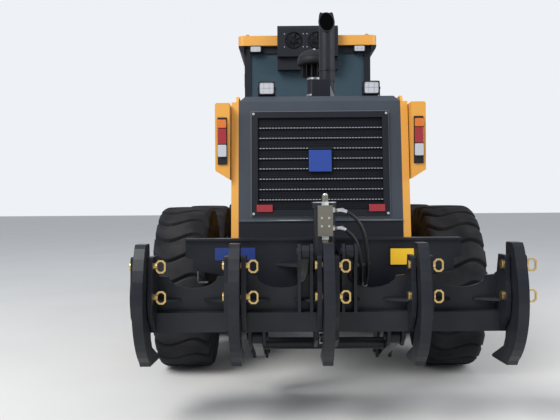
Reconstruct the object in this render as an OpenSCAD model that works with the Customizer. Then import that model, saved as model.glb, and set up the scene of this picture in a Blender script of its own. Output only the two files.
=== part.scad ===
// Motor grader with a rear ripper. +Y is forward, +X is right and +Z is up, in millimetres.
// Every outline below is written from the tandem's centre, and tandem_y puts that centre in the part's frame.

/* [Wheels] */
// Outer radius of a tyre, out to the tips of its lugs
tyre_r = 674; // [665:1:680]
// Width of a tyre
tyre_w = 445; // [425:5:455]
// Diameter of the tyre's seat on its rim
bead_d = 635; // [620:5:650]
// Number of lugs round a tyre
lug_count = 24; // [20:4:24]
// Depth of the grooves between the lugs
lug_depth = 28; // [20:1:32]
// Distance between the centres of the left and right tyres
track = 2155; // [2150:5:2190]
// Distance between the two axles of a tandem
tandem_spacing = 1538; // [1510:2:1560]
// Distance from the tandem's centre to the front axle
wheelbase = 6219; // [6200:1:6240]

/* [Rear frame] */
// Distance from the middle of the frame to the middle of a rail
rail_x = 400; // [390:5:410]
// Width of a rail
rail_w = 110; // [90:5:120]
// Height of a rail
rail_h = 260; // [240:5:280]
// Gap between the rear axle's housing and the rails' underside
axle_gap = 36; // [30:1:46]
// Distance from the tandem's centre back to the bumper's rear face
bumper_reach = 1990; // [1980:5:2010]
// Thickness of the bumper
bumper_t = 90; // [80:5:110]
// Half the width of the bumper's upper edge
bumper_half = 938; // [900:2:950]
// Height of the bumper's upper edge above the ground
bumper_top = 1140; // [1130:5:1150]
// Distance from the tandem's centre forward to the articulation pin
hitch_reach = 2560; // [2540:5:2580]
// Diameter of the articulation pins
hitch_pin_d = 90; // [80:5:100]
// Thickness of each articulation lug
hitch_lug_t = 50; // [40:5:60]
// Outer diameter of the rear axle housing
axle_d = 300; // [260:5:320]
// Width of a tandem case
case_w = 198; // [180:2:220]
// Height of a tandem case at its ends
case_h = 400; // [360:5:420]
// Diameter of a wheel spindle
spindle_d = 180; // [160:5:200]

/* [Hood] */
// Half the width of the hood's inner shell
hood_half = 595; // [590:5:600]
// Thickness of the hood's yellow side panels
panel_t = 53; // [45:1:60]
// Height of the hood's top above the ground
hood_top = 2170; // [2150:5:2190]
// Thickness of the hood's walls
hood_wall = 40; // [30:2:50]
// Width of the rear grille
grille_w = 1000; // [960:5:1020]
// Height of the rear grille
grille_h = 770; // [740:5:780]
// Number of slats in the rear grille
slat_count = 8; // [6:1:10]
// Width of the tail lamp housing at each rear corner
ear_w = 105; // [95:5:110]
// Height of the exhaust outlet above the ground
exhaust_top = 2900; // [2800:10:2960]
// Diameter of the exhaust pipe
exhaust_d = 122; // [110:2:130]
// Diameter of the air precleaner's brim
precleaner_d = 280; // [250:5:300]

/* [Cab] */
// Distance from the cab's front to the articulation pin
cab_gap = 110; // [105:5:120]
// Length of the cab
cab_l = 1300; // [1280:5:1310]
// Half the width of the cab across its posts
cab_half = 707; // [700:1:720]
// Height of the cab's floor above the rails
cab_rise = 170; // [165:5:180]
// Height of the cab roof's top above the ground
cab_top = 3240; // [3200:5:3280]
// Width of a cab post
post_w = 70; // [60:5:80]
// Thickness of the cab's glass
glass_t = 8; // [6:1:10]

/* [Front frame] */
// Width of the gooseneck beam
neck_w = 300; // [280:5:310]
// Distance from the front axle forward to the front plate's face
front_overhang = 761; // [751:1:781]
// Distance from the articulation pin forward to the blade circle's centre
circle_gap = 1190; // [1180:5:1200]
// Distance from the front axle back to the drawbar's ball
ball_gap = 339; // [329:1:344]
// Depth of the drawbar's ball below the beam's underside
ball_drop = 80; // [76:1:85]
// Distance from the drawbar plate's edge out to a lift cylinder
lift_gap = 60; // [55:1:70]
// Diameter of a lift cylinder's barrel
lift_d = 120; // [110:2:130]

/* [Front axle] */
// Distance from the middle of a tyre in to its kingpin
kingpin_in = 317.5; // [312.5:1:319.5]
// Distance from a kingpin in to the wheel lean pivot
lean_in = 100; // [98:1:102]
// Depth of the wheel lean pivot below the wheel's centre
lean_drop = 74; // [70:1:78]
// Diameter of a kingpin
kingpin_d = 60; // [50:2:66]
// Distance from the kingpin back to the tie rod's face
arm_l = 130; // [120:2:134]

/* [Blade] */
// Half the length of the moldboard
blade_half = 1830; // [1800:5:1850]
// Thickness of the moldboard
blade_t = 22; // [18:1:25]
// Height of the cutting edge above the ground
blade_low = 150; // [140:5:160]
// Height of the moldboard's upper edge above the ground
blade_high = 725; // [715:5:730]
// Outer radius of the circle
circle_r = 765; // [755:5:770]
// Thickness of the circle
circle_t = 80; // [70:5:85]
// Height of the circle's top above the moldboard's upper edge
circle_rise = 155; // [150:1:160]

/* [Ripper] */
// Spacing of the ripper shanks
shank_pitch = 560; // [550:2:570]
// Number of shanks
shank_count = 5; // [3:2:5]
// Thickness of a shank
shank_t = 64; // [56:2:70]
// Clearance between a shank and its pocket on each side
shank_gap = 6; // [4:1:8]
// Thickness of a pocket plate
pocket_t = 28; // [24:1:30]
// Diameter of the pins that hold a shank
shank_pin_d = 38; // [32:2:42]
// Fore-and-aft length of the ripper links between pins
link_run = 565; // [560:1:570]
// Height gained by the ripper links between pins
link_rise = 205; // [200:1:210]
// Outer diameter of the ripper cylinder
ripper_cyl_d = 146; // [136:2:150]

/* [Hidden] */
$fn = 48;

// Finishes
yellow = "#e7b01c";
slate = "#3c4148";
black = "#202326";
steel = "#8d9196";
zinc = "#a89a5c";
glass = "#9fb4bd";

// Clearances: between faces that slide, and round a pin or rod in its bore
slide_gap = 0.5;
bore_gap = 0.5;
seat_gap = 0.3;

// Places along the machine, forward of the tandem's centre
cab_rear = hitch_reach - cab_gap - cab_l;
circle_reach = hitch_reach + circle_gap;
ball_reach = wheelbase - ball_gap;
front_reach = wheelbase + front_overhang;

// Reach of the ripper behind the tandem's centre, and the shift that centres the whole machine on the origin
shank_reach = bumper_reach + 730;
tandem_y = (shank_reach - front_reach) / 2;

wheel_x = track / 2;
kingpin_x = wheel_x - kingpin_in;
lean_x = kingpin_x - lean_in;
lean_z = tyre_r - lean_drop;
rail_z = tyre_r + axle_d / 2 + axle_gap;
ball_z = tyre_r + 206 - ball_drop;
circle_z = blade_high + circle_rise;
lift_x = circle_r - 135 + lift_gap;
axle_half = tandem_spacing / 2;
case_out = wheel_x - tyre_w / 2 - 17;
case_in = case_out - case_w;
rail_top = rail_z + rail_h;
cab_floor = rail_top + cab_rise;
rail_in = rail_x - rail_w / 2;
rail_out = rail_x + rail_w / 2;
bumper_front = bumper_reach - bumper_t;

module from_tandem() {
    translate([0, tandem_y, 0]) children();
}

// The ripper and its brackets are written for a bumper whose rear face is this far behind the tandem's centre
bumper_home = 1990;

module from_bumper() {
    translate([0, tandem_y + bumper_home - bumper_reach, 0]) children();
}

// Like pieces at left and right
module both_sides() {
    children();
    mirror([1, 0, 0]) children();
}

// A box between two corners
module block(low, high) {
    translate(low) cube(high - low);
}

// A side outline of [y, z] points, as thick as the step from x0 to x1
module side_plate(outline, x0, x1) {
    translate([x0, 0, 0]) rotate([90, 0, 90]) linear_extrude(x1 - x0) polygon(outline);
}

// An end outline of [x, z] points, running forward from y0 to y1
module end_plate(outline, y0, y1) {
    translate([0, y1, 0]) rotate([90, 0, 0]) linear_extrude(y1 - y0) polygon(outline);
}

// A round bar along X, Y or Z from a to b
module bar_x(d, a, b, y, z) {
    translate([a, y, z]) rotate([0, 90, 0]) cylinder(d = d, h = b - a);
}

module bar_y(d, a, b, x, z) {
    translate([x, b, z]) rotate([90, 0, 0]) cylinder(d = d, h = b - a);
}

module bar_z(d, a, b, x, y) {
    translate([x, y, a]) cylinder(d = d, h = b - a);
}

// A flat link in the side view, round at its two [y, z] pins, from x0 to x1, with a bore at each pin
module side_link(p, q, w, x0, x1, bore) {
    difference() {
        translate([x0, 0, 0]) rotate([90, 0, 90]) linear_extrude(x1 - x0) {
            hull() {
                translate(p) circle(d = w);
                translate(q) circle(d = w);
            }
        }
        bar_x(bore, x0 - 1, x1 + 1, p[0], p[1]);
        bar_x(bore, x0 - 1, x1 + 1, q[0], q[1]);
    }
}

// Points of an arc about a centre, from one angle to another
function arc(c, r, a0, a1, n) = [for (i = [0 : n]) let (a = a0 + (a1 - a0) * i / n) c + r * [cos(a), sin(a)]];

// Rear frame: two rails, cross members, the front box and the articulation lugs
hitch_lug_r = 120;
hitch_barrel_r = 115;
hitch_low = rail_z - 70;
hitch_high = rail_top - 10;
hitch_pin_l = 55;
front_box_y = hitch_reach - 180;
front_box_l = 180;
cross_y = [-1400, -700, 0, 700, 1400];
cross_l = 120;

module hitch_lug(z0, z1) {
    difference() {
        translate([0, 0, z0]) linear_extrude(z1 - z0) union() {
            translate([0, hitch_reach]) circle(r = hitch_lug_r);
            polygon([
                [-rail_in, front_box_y - 10], [rail_in, front_box_y - 10],
                [hitch_lug_r - 10, hitch_reach], [10 - hitch_lug_r, hitch_reach]
            ]);
        }
        bar_z(hitch_pin_d + bore_gap, z0 - 1, z1 + 1, 0, hitch_reach);
    }
}

module hitch_pin(z0, z1) {
    bar_z(hitch_pin_d + bore_gap, z0, z1, 0, hitch_reach);
}

module rear_frame() {
    color(slate) from_tandem() {
        both_sides() block([rail_in, -bumper_front, rail_z], [rail_out, front_box_y, rail_top]);
        for (y = cross_y)
            block([-rail_in, y - cross_l / 2, rail_z + 40], [rail_in, y + cross_l / 2, rail_top - 40]);
        block([-rail_out, front_box_y - front_box_l, hitch_low],
            [rail_out, front_box_y, hitch_high + hitch_lug_t]);
        hitch_lug(hitch_low, hitch_low + hitch_lug_t);
        hitch_lug(hitch_high, hitch_high + hitch_lug_t);
        hitch_pin(hitch_low - 15, hitch_low + hitch_lug_t + hitch_pin_l);
        hitch_pin(hitch_high - hitch_pin_l, hitch_high + hitch_lug_t + 15);
        // Cab mounts and step box hangers on the rails
        both_sides() for (y = [cab_rear + 80, cab_rear + cab_l - 120])
            bar_z(110, rail_top, cab_floor - cab_floor_t, rail_x, y);
    }
}

// Rear axle: the housing under the rails, and a tandem case at each end with its four wheel spindles
axle_pad_l = 260;
spindle_in = 100;

module tandem_case() {
    translate([case_in, 0, 0]) rotate([90, 0, 90]) linear_extrude(case_w) union() {
        for (y = [-axle_half, axle_half]) translate([y, tyre_r]) circle(d = case_h);
        polygon([
            [-axle_half, tyre_r - case_h / 2], [axle_half, tyre_r - case_h / 2],
            [axle_half, tyre_r + case_h / 2], [320, tyre_r + case_h * 0.62],
            [-320, tyre_r + case_h * 0.62], [-axle_half, tyre_r + case_h / 2]
        ]);
    }
    for (y = [-axle_half, axle_half])
        bar_x(spindle_d, case_out, wheel_x - spindle_in, y, tyre_r);
}

module rear_axle() {
    color(slate) from_tandem() {
        bar_x(axle_d, -case_in, case_in, 0, tyre_r);
        bar_x(axle_d + 120, -190, 190, 0, tyre_r);
        both_sides() {
            bar_x(axle_d + 90, case_in - 40, case_in, 0, tyre_r);
            block([rail_in, -axle_pad_l / 2, tyre_r], [rail_out, axle_pad_l / 2, rail_z]);
            tandem_case();
        }
    }
}

// Rear bumper with the ripper's brackets and the plates that carry its lower links
// Columns of upper_plates and lower_plates: inner and outer distance from the middle
upper_plates = [[88, 107], [163, 182]];
lower_plates = [[385, 405], [475, 495]];
lower_pivot = [-1700, 320];
upper_pivot = [-1905, 875];
trunnion = [-2150, 1000];
link_pin_d = 50;

module rear_bumper() {
    color(slate) from_bumper() {
        difference() {
            end_plate([
                [-bumper_half, bumper_top], [-bumper_half, 1012], [-bumper_half + 50, 1000],
                [-bumper_half + 50, 925], [-560, 870], [-500, 720], [500, 720], [560, 870],
                [bumper_half - 50, 925], [bumper_half - 50, 1000], [bumper_half, 1012],
                    [bumper_half, bumper_top]
            ], -bumper_home, bumper_t - bumper_home);
            both_sides() block([upper_plates[0][1], -bumper_home - 1, 700],
                [upper_plates[1][0], bumper_t - bumper_home + 1, 1030]);
        }
        // Ledge along the upper edge
        block([-bumper_half, -bumper_home - 18, bumper_top - 14], [bumper_half, -bumper_home, bumper_top]);
        both_sides() {
            for (p = upper_plates) difference() {
                side_plate([
                    [-1845, 940], [-1845, 820], [-1960, 800], [-2040, 860], [-2130, 930], [-2200, 945],
                    [-2205, 1060], [-2000, 1078], [-1990, 1078], [-1900, 960]
                ], p[0], p[1]);
                bar_x(trunnion_d + bore_gap, p[0] - 1, p[1] + 1, trunnion[0], trunnion[1]);
            }
            bar_x(link_pin_d, upper_plates[0][0], upper_plates[1][1], upper_pivot[0], upper_pivot[1]);
            // Flat gusset beside the bracket
            translate([0, 0, 955]) linear_extrude(18)
                polygon([[upper_plates[1][1] - 1, -1985], [upper_plates[1][1] - 1, -2130], [330, -1985]]);
            for (p = lower_plates) side_plate([
                [bumper_t - bumper_home, 720], [bumper_t - bumper_home, rail_z], [-1640, rail_z],
                    [-1620, 340], [-1650, 275],
                [-1750, 270], [-1790, 330]
            ], p[0], p[1]);
            block([lower_plates[0][0], -1700, rail_z - 30], [lower_plates[1][1], -1640, rail_z]);
            bar_x(link_pin_d, lower_plates[0][0] - 14, lower_plates[1][1] + 14, lower_pivot[0], lower_pivot[1]);
        }
    }
}

// Hood: a shell that leans forward at the rear, yellow side panels with door openings and lamp ears
hood_z = rail_top;
hood_rear = bumper_reach - 271;
hood_lean = 7;
hood_front = cab_rear - 90;
hood_rise = hood_top - hood_z;
hood_rear_top = hood_rear - hood_rise * tan(hood_lean);
door_back = 349 - hood_rear;
door_front = 320;
door_low = 1400;
door_high = hood_top - 125;
door_gap = 5;
door_t = 26;
hood_hinge_x = hood_half + panel_t + 12;
hood_hinge_y = door_front + 14;
hood_hinge_zs = [door_low + 98, door_high - 167];

module hood_outline(inset) {
    polygon([
        [-hood_rear + inset, hood_z], [hood_front - inset, hood_z], [hood_front - inset, hood_top - inset],
        [-hood_rear_top + 45 + inset, hood_top - inset], [-hood_rear_top + inset + 8, hood_top - 42 - inset]
    ]);
}

// Placed on the rear face, with its origin at the grille's centre and +Z up the lean
module on_rear_face() {
    mid_z = 1665;
    translate([0, -hood_rear + (mid_z - hood_z) * tan(hood_lean), mid_z]) rotate([-hood_lean, 0, 0]) children();
}

module hood_shell() {
    color(slate) from_tandem() difference() {
        intersection() {
            translate([-hood_half, 0, 0]) rotate([90, 0, 90]) linear_extrude(2 * hood_half) hood_outline(0);
            end_plate([
                [-hood_half, hood_z], [hood_half, hood_z], [hood_half, hood_top - 45],
                    [hood_half - 45, hood_top],
                [45 - hood_half, hood_top], [-hood_half, hood_top - 45]
            ], -hood_rear - 280, hood_front + 140);
        }
        translate([hood_wall - hood_half, 0, -hood_wall]) rotate([90, 0, 90])
            linear_extrude(2 * (hood_half - hood_wall)) polygon([
                [-hood_rear + 60, hood_z], [hood_front - hood_wall, hood_z], [hood_front - hood_wall, hood_top],
                [-hood_rear_top + 60, hood_top]
            ]);
        on_rear_face() block([-grille_w / 2, -60, -grille_h / 2], [grille_w / 2, 100, grille_h / 2]);
        block([-hood_half - 1, door_back, door_low], [hood_half + 1, door_front, door_high]);
    }
}

// Hinge knuckles at [x, y], each a [low, high] span, with a root that runs back and fore of the pin
module hinge_knuckles(x, y, spans, root_x, back, fore) {
    for (s = spans) {
        bar_z(22, s[0], s[1], x, y);
        block([root_x, y - back, s[0]], [x, y + fore, s[1]]);
    }
}

module hood_side_panels() {
    color(yellow) from_tandem() both_sides() {
        difference() {
            translate([hood_half, 0, 0]) rotate([90, 0, 90]) linear_extrude(panel_t) hood_outline(0);
            block([hood_half - 1, door_back, door_low], [hood_half + panel_t + 1, door_front, door_high]);
            block([hood_half + 20, -hood_rear - 10, hood_top - 45],
                [hood_half + panel_t + 1, hood_front + 10, hood_top + 1]);
        }
        // Tail lamp ear and its two stays
        ear_x = hood_half + panel_t + 7;
        difference() {
            end_plate([
                [ear_x, 1550], [ear_x + ear_w, 1615], [ear_x + ear_w, 2095],
                    [ear_x + ear_w - 12, 2105], [ear_x, 2105]
            ], 19 - hood_rear, 279 - hood_rear);
            block([ear_x + 18, 18 - hood_rear, 1660], [ear_x + ear_w - 18, 39 - hood_rear, 2000]);
        }
        for (z = [1700, 2000]) block([hood_half + panel_t - 1, 159 - hood_rear, z],
            [ear_x + 1, 199 - hood_rear, z + 40]);
        hinge_knuckles(hood_hinge_x, hood_hinge_y, 
            [for (z = hood_hinge_zs, d = [0, 112]) [z - 48 + d, z + d]],
            hood_half + panel_t - 2, 7, 7);
    }
}

module hood_door() {
    color(yellow) from_tandem() {
        x1 = hood_half + panel_t - 3;
        difference() {
            block([x1 - door_t, door_back + door_gap, door_low + door_gap],
                [x1, door_front - door_gap, door_high - door_gap]);
            // Louvres for the radiator's air
            for (i = [0 : 6])
                block([x1 - door_t - 1, door_back + 190, 1560 + i * 55],
                    [x1 + 1, door_back + 610, 1580 + i * 55]);
        }
        // Knuckles and the grab handle
        for (z = hood_hinge_zs + [0.5, 0.5]) {
            bar_z(22, z, z + 63, hood_hinge_x, hood_hinge_y);
            block([x1 - 8, door_front - 40, z], [x1 + 5, door_front - door_gap, z + 63]);
            block([x1 + 4, door_front - 30, z], [hood_hinge_x, hood_hinge_y - 8, z + 63]);
        }
        block([x1, door_back + 60, 1700], [x1 + 14, door_back + 80, 1860]);
    }
}

module hood_door_right() {
    hood_door();
}

module hood_door_left() {
    mirror([1, 0, 0]) hood_door();
}

module grille() {
    frame_w = 45;
    pitch = (grille_h - 2 * frame_w) / (slat_count + 1);
    color(black) from_tandem() on_rear_face() {
        difference() {
            block([-grille_w / 2 + seat_gap, -12, -grille_h / 2 + seat_gap],
                [grille_w / 2 - seat_gap, 30, grille_h / 2 - seat_gap]);
            block([frame_w - grille_w / 2, -13, frame_w - grille_h / 2],
                [grille_w / 2 - frame_w, 14, grille_h / 2 - frame_w]);
        }
        for (i = [1 : slat_count]) {
            z = -grille_h / 2 + frame_w + i * pitch;
            block([frame_w - grille_w / 2 - 1, -4, z - 6], [grille_w / 2 - frame_w + 1, 15, z + 6]);
        }
    }
}

module engine() {
    color(black) from_tandem() block([-380, 419 - hood_rear, rail_top], [380, -80, hood_top - 270]);
}

exhaust_x = 80;
exhaust_y = 550 - hood_rear;

module exhaust_stack() {
    color(steel) from_tandem() {
        difference() {
            bar_z(exhaust_d, hood_top, exhaust_top, exhaust_x, exhaust_y);
            bar_z(exhaust_d - 12, hood_top + 60, exhaust_top + 1, exhaust_x, exhaust_y);
            // The outlet is cut at a slant, open to the rear
            translate([exhaust_x - 100, exhaust_y, exhaust_top - 62]) rotate([60, 0, 0])
                translate([0, -200, 0]) cube([200, 400, 200]);
        }
        bar_z(exhaust_d + 90, hood_top, hood_top + 22, exhaust_x, exhaust_y);
    }
}

precleaner_y = -700;

module air_precleaner() {
    color(black) from_tandem() translate([0, precleaner_y, 0]) rotate_extrude() polygon(concat(
        [[0, hood_top], [80, hood_top], [80, hood_top + 30], [62, hood_top + 40], [62, 2540],
            [precleaner_d / 2, 2560],
            [precleaner_d / 2, 2625]],
        [for (a = [15 : 15 : 90]) [precleaner_d / 2 * 0.93 * cos(a), 2630 + 62 * sin(a)]]
    ));
}

// Cab: floor, posts, lower walls and the roof ring, with glass set in the openings
cab_floor_t = 60;
cab_front = cab_rear + cab_l;
ring_h = 80;
ring_z = cab_top - 110 - ring_h;
sill_z = 2120;
mid_post_y = cab_rear + 360;
front_sill_z = 1520;

module cab_frame() {
    color(black) from_tandem() {
        block([-cab_half, cab_rear, cab_floor - cab_floor_t], [cab_half, cab_front, cab_floor]);
        // Roof ring
        difference() {
            block([-cab_half, cab_rear, ring_z], [cab_half, cab_front, ring_z + ring_h]);
            block([post_w - cab_half, cab_rear + post_w, ring_z - 1],
                [cab_half - post_w, cab_front - post_w, ring_z + ring_h + 1]);
        }
        // Rear wall under its window
        block([-cab_half, cab_rear, cab_floor - 1], [cab_half, cab_rear + 50, sill_z]);
        block([-cab_half, cab_front - 50, cab_floor - 1], [cab_half, cab_front, front_sill_z]);
        both_sides() {
            for (y = [cab_rear, cab_front - post_w])
                block([cab_half - post_w, y, cab_floor - 1], [cab_half, y + post_w, ring_z + 1]);
            block([cab_half - 50, mid_post_y, cab_floor - 1], [cab_half, mid_post_y + 60, ring_z + 1]);
            block([cab_half - 50, cab_rear, cab_floor - 1], [cab_half, mid_post_y, sill_z]);
            // Door hinge knuckles on the middle post
            for (z = cab_hinge_zs)
                hinge_knuckles(cab_hinge_x, cab_hinge_y, [[z - 48, z], [z + 64, z + 112]], cab_half - 2, 24, 0);
        }
    }
}

module cab_roof() {
    color(yellow) from_tandem() {
        difference() {
            translate([0, 0, ring_z + ring_h]) linear_extrude(cab_top - ring_z - ring_h)
                offset(r = 60) square_plan(cab_half + 8, cab_rear + 10, cab_front - 10);
            translate([0, 0, cab_top - 28]) linear_extrude(40)
                offset(r = 20) square_plan(cab_half - 40, cab_rear + 60, cab_front - 60);
        }
    }
}

module square_plan(half, y0, y1) {
    translate([-half, y0]) square([2 * half, y1 - y0]);
}

module cab_glass() {
    color(glass) from_tandem() {
        block([post_w - cab_half, cab_rear + 20, sill_z], [cab_half - post_w, cab_rear + 20 + glass_t, ring_z]);
        block([post_w - cab_half, cab_front - 28, front_sill_z],
            [cab_half - post_w, cab_front - 28 + glass_t, ring_z]);
        both_sides() block([cab_half - 30, cab_rear + post_w, sill_z],
            [cab_half - 30 + glass_t, mid_post_y, ring_z]);
    }
}

cab_door_y0 = mid_post_y + 60;
cab_door_y1 = cab_front - post_w;
cab_door_low = cab_floor + 110;
cab_hinge_x = cab_half + 16;
cab_hinge_y = cab_door_y0 + 4;
cab_hinge_zs = [cab_door_low + 188, ring_z - 262];

module cab_door() {
    x0 = cab_half - 42;
    x1 = cab_half - 2;
    frame_w = 55;
    color(black) from_tandem() {
        difference() {
            block([x0, cab_door_y0 + door_gap, cab_door_low], [x1, cab_door_y1 - door_gap, ring_z - door_gap]);
            block([x0 - 1, cab_door_y0 + frame_w, cab_door_low + 180],
                [x0 + 16, cab_door_y1 - frame_w, ring_z - 60]);
            block([x0 + 16 + glass_t, cab_door_y0 + frame_w, cab_door_low + 180],
                [x1 + 1, cab_door_y1 - frame_w, ring_z - 60]);
        }
        for (z = cab_hinge_zs + [0.5, 0.5]) {
            bar_z(22, z, z + 63, cab_hinge_x, cab_hinge_y);
            block([x1 - 6, cab_door_y0 + door_gap + 2, z], [cab_hinge_x, cab_door_y0 + 30, z + 63]);
        }
        bar_z(22, 1900, 2300, x1 + 40, cab_door_y1 - 60);
        for (z = [1910, 2270]) block([x1 - 2, cab_door_y1 - 68, z], [x1 + 40, cab_door_y1 - 52, z + 20]);
    }
}

module cab_door_right() {
    cab_door();
}

module cab_door_left() {
    mirror([1, 0, 0]) cab_door();
}

module cab_console() {
    y0 = cab_rear;
    color(black) from_tandem() {
        side_plate([[y0 + 990, cab_floor], [y0 + 1120, cab_floor], [y0 + 1100, 1750],
            [y0 + 970, 1980], [y0 + 910, 1960], [y0 + 1000, 1720]], -110, 110);
        translate([0, y0 + 910, 1990]) rotate([25, 0, 0]) rotate_extrude() translate([180, 0]) circle(r = 14);
        translate([0, y0 + 910, 1990]) rotate([25, 0, 0]) {
            translate([0, 0, -90]) cylinder(d = 60, h = 105);
            for (a = [0 : 120 : 359]) rotate([0, 0, a + 90]) block([20, -10, -6], [176, 10, 6]);
        }
        both_sides() side_plate([[y0 + 330, 1700], [y0 + 650, 1700], [y0 + 640, 1780],
            [y0 + 340, 1760]], 330, 420);
        both_sides() block([340, y0 + 350, cab_floor], [410, y0 + 490, 1701]);
    }
}

module seat() {
    y0 = cab_rear;
    color(black) from_tandem() {
        block([-160, y0 + 350, cab_floor], [160, y0 + 650, 1560]);
        block([-250, y0 + 280, 1560], [250, y0 + 770, 1700]);
        side_plate([[y0 + 180, 1690], [y0 + 290, 1690], [y0 + 250, 2380], [y0 + 150, 2380]], -240, 240);
        side_plate([[y0 + 150, 2370], [y0 + 240, 2370], [y0 + 230, 2600], [y0 + 150, 2600]], -140, 140);
    }
}

// Air conditioner on the cab's rear wall
module air_conditioner() {
    color(black) from_tandem() {
        difference() {
            side_plate([[cab_rear - 160, cab_top - 255], [cab_rear - 50.3, cab_top - 255],
                [cab_rear - 50.3, cab_top + seat_gap], [cab_rear + 240, cab_top + seat_gap],
                [cab_rear + 240, cab_top + 80], [cab_rear - 120, cab_top + 90], [cab_rear - 160, cab_top + 50]],
                -335, 335);
            for (x = [-153, 96]) bar_y(190, cab_rear - 170, cab_rear - 120, x, cab_top - 80);
        }
        block([-335, cab_rear - 100, cab_top - 390], [335, cab_rear - seat_gap, cab_top - 254]);
    }
}

// Lamps on the hood, the ears and the roof: each row is x, y, z, width, height and depth
lamp_rows = [
    [390, 219 - hood_rear, hood_top + 15, 122, 98, 70], [-390, 219 - hood_rear, hood_top + 15, 122, 98, 70],
    [580, cab_rear - 32, cab_top - 188, 130, 74, 60], [-580, cab_rear - 32, cab_top - 188, 130, 74, 60]
];

module lamp_box(r) {
    block([r[0] - r[3] / 2, r[1] - r[5] / 2, r[2]], [r[0] + r[3] / 2, r[1] + r[5] / 2, r[2] + r[4]]);
}

module rear_lamps() {
    color(black) from_tandem() {
        for (r = lamp_rows) lamp_box(r);
        for (x = [-390, 390]) block([x - 12, 209 - hood_rear, hood_top],
            [x + 12, 229 - hood_rear, hood_top + 16]);
        for (x = [-580, 580]) block([x - 12, cab_rear - 10, cab_top - 184], [x + 12, cab_rear, cab_top - 160]);
        ear_x = hood_half + panel_t + 7;
        both_sides() block([ear_x + 20, 7 - hood_rear, 1662], [ear_x + ear_w - 20, 39 - hood_rear, 1998]);
    }
}

// Step and tool boxes hung from the rails under the cab
module step_boxes() {
    y0 = axle_half + tyre_r + 27;
    y1 = cab_rear + 1080;
    top = cab_floor - 65;
    color(slate) from_tandem() both_sides() difference() {
        union() {
            side_plate([[y0, rail_z - 10], [y1, rail_z - 10], [y1, top], [y0, top]], art_x + 75, 860);
            for (y = [y0 + 20, y1 - 80]) block([rail_out, y, rail_top - 55],
                [art_x + 76, y + 60, rail_top - 5]);
        }
        block([700, y0 + 90, rail_z + 70], [861, y1 - 90, rail_z + 200]);
        block([780, y0 + 90, top - 95], [861, y1 - 90, top + 1]);
    }
}

// Articulation cylinders: barrels fixed on the rear frame, rods that reach the front frame
art_x = rail_out + 70;
art_z = rail_z + 125;
art_rod_d = 60;
art_back = hitch_reach - 680;
art_mouth = hitch_reach - 140;
art_rod_back = hitch_reach - 410;
art_eye_y = hitch_reach + 200;

module articulation_barrels() {
    color(black) from_tandem() both_sides() {
        difference() {
            union() {
                bar_y(110, art_back, art_mouth, art_x, art_z);
                block([rail_out, art_back + 10, art_z - 50], [art_x, art_back + 90, art_z + 50]);
                block([rail_out, art_mouth - 130, art_z - 40], [art_x, art_mouth - 60, art_z + 40]);
            }
            bar_y(art_rod_d + bore_gap * 2, art_back + 20, art_mouth + 1, art_x, art_z);
        }
    }
}

module articulation_rod() {
    color(steel) from_tandem() {
        difference() {
            union() {
                bar_y(art_rod_d, art_rod_back, art_eye_y, art_x, art_z);
                bar_z(100, art_z - 30, art_z + 30, art_x, art_eye_y);
            }
            bar_z(50, art_z - 31, art_z + 31, art_x, art_eye_y);
        }
    }
}

module articulation_rod_right() {
    articulation_rod();
}

module articulation_rod_left() {
    mirror([1, 0, 0]) articulation_rod();
}

// Wheels: each profile is [radius, distance outward], turned about the axle
rim_half = 178;

module turned_wheel(side, y, profile) {
    translate([side * wheel_x, y, tyre_r]) rotate([0, side * 90, 0]) rotate_extrude() polygon(profile);
}

// The tread's S: distance outward as a share of the tread's half width, the groove's swing, and half
// its width, in degrees
tread_half = tyre_w / 2 - 20;
tread_rows = [[-1, -2.6, 2.7], [-0.36, 2.6, 1.8], [0.36, -2.6, 1.8], [1, 2.6, 2.7]];

// A ring of points about the axle, 2 to each lug
function plain_ring(r,
    w) = [for (i = [0 : 2 * lug_count - 1]) let (a = i * 180 / lug_count) [r * cos(a), r * sin(a), w]];

// A tread row: two points along each lug's top and one in the bottom of the groove after it
function tread_ring(row) = [
    for (i = [0 : lug_count - 1], k = [0 : 2]) let (
        pitch = 360 / lug_count,
        a = i * pitch + [row[2], pitch - row[2], pitch][k] + row[1] - tread_rows[1][1] - tread_rows[1][2],
        r = tyre_r - (k == 2 ? lug_depth : 0) - (abs(row[0]) == 1 ? 12 : 0)
    ) [r * cos(a), r * sin(a), row[0] * tread_half]
];

// Faces between two rings that start at points a and b, with n and m points to each lug
function band(a, b, n, m) = [
    for (i = [0 : lug_count - 1], k = [0 : n + m - 1]) let (
        total_a = n * lug_count,
        total_b = m * lug_count,
        ka = floor((k * n + n / 2) / (n + m)),
        kb = k - ka,
        along_a = floor(((k + 1) * n + n / 2) / (n + m)) > ka,
        pa = a + (i * n + ka) % total_a,
        pb = b + (i * m + kb) % total_b
    ) along_a ? [pa, pb, a + (i * n + ka + 1) % total_a] : [pa, pb, b + (i * m + kb + 1) % total_b]
];

// A tyre about +Z, its outer side up: bead, swell, four tread rows, swell and bead, closed through its bore
module lugged_tyre() {
    bead_r = (bead_d / 2 + seat_gap) / cos(90 / lug_count);
    n2 = 2 * lug_count;
    n3 = 3 * lug_count;
    starts = [0, n2, 2 * n2, 2 * n2 + n3, 2 * n2 + 2 * n3, 2 * n2 + 3 * n3, 2 * n2 + 4 * n3, 3 * n2 + 4 * n3];
    per_lug = [2, 2, 3, 3, 3, 3, 2, 2];
    polyhedron(
        concat(
            plain_ring(bead_r, -164), plain_ring(bead_r + 185, -tyre_w / 2),
            tread_ring(tread_rows[0]), tread_ring(tread_rows[1]), tread_ring(tread_rows[2]),
                tread_ring(tread_rows[3]),
            plain_ring(bead_r + 185, tyre_w / 2), plain_ring(bead_r, 164)
        ),
        [for (j = [0 : 7]) let (k = (j + 1) % 8) for (f = band(starts[j], starts[k], per_lug[j], per_lug[k])) f]
    );
}

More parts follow.
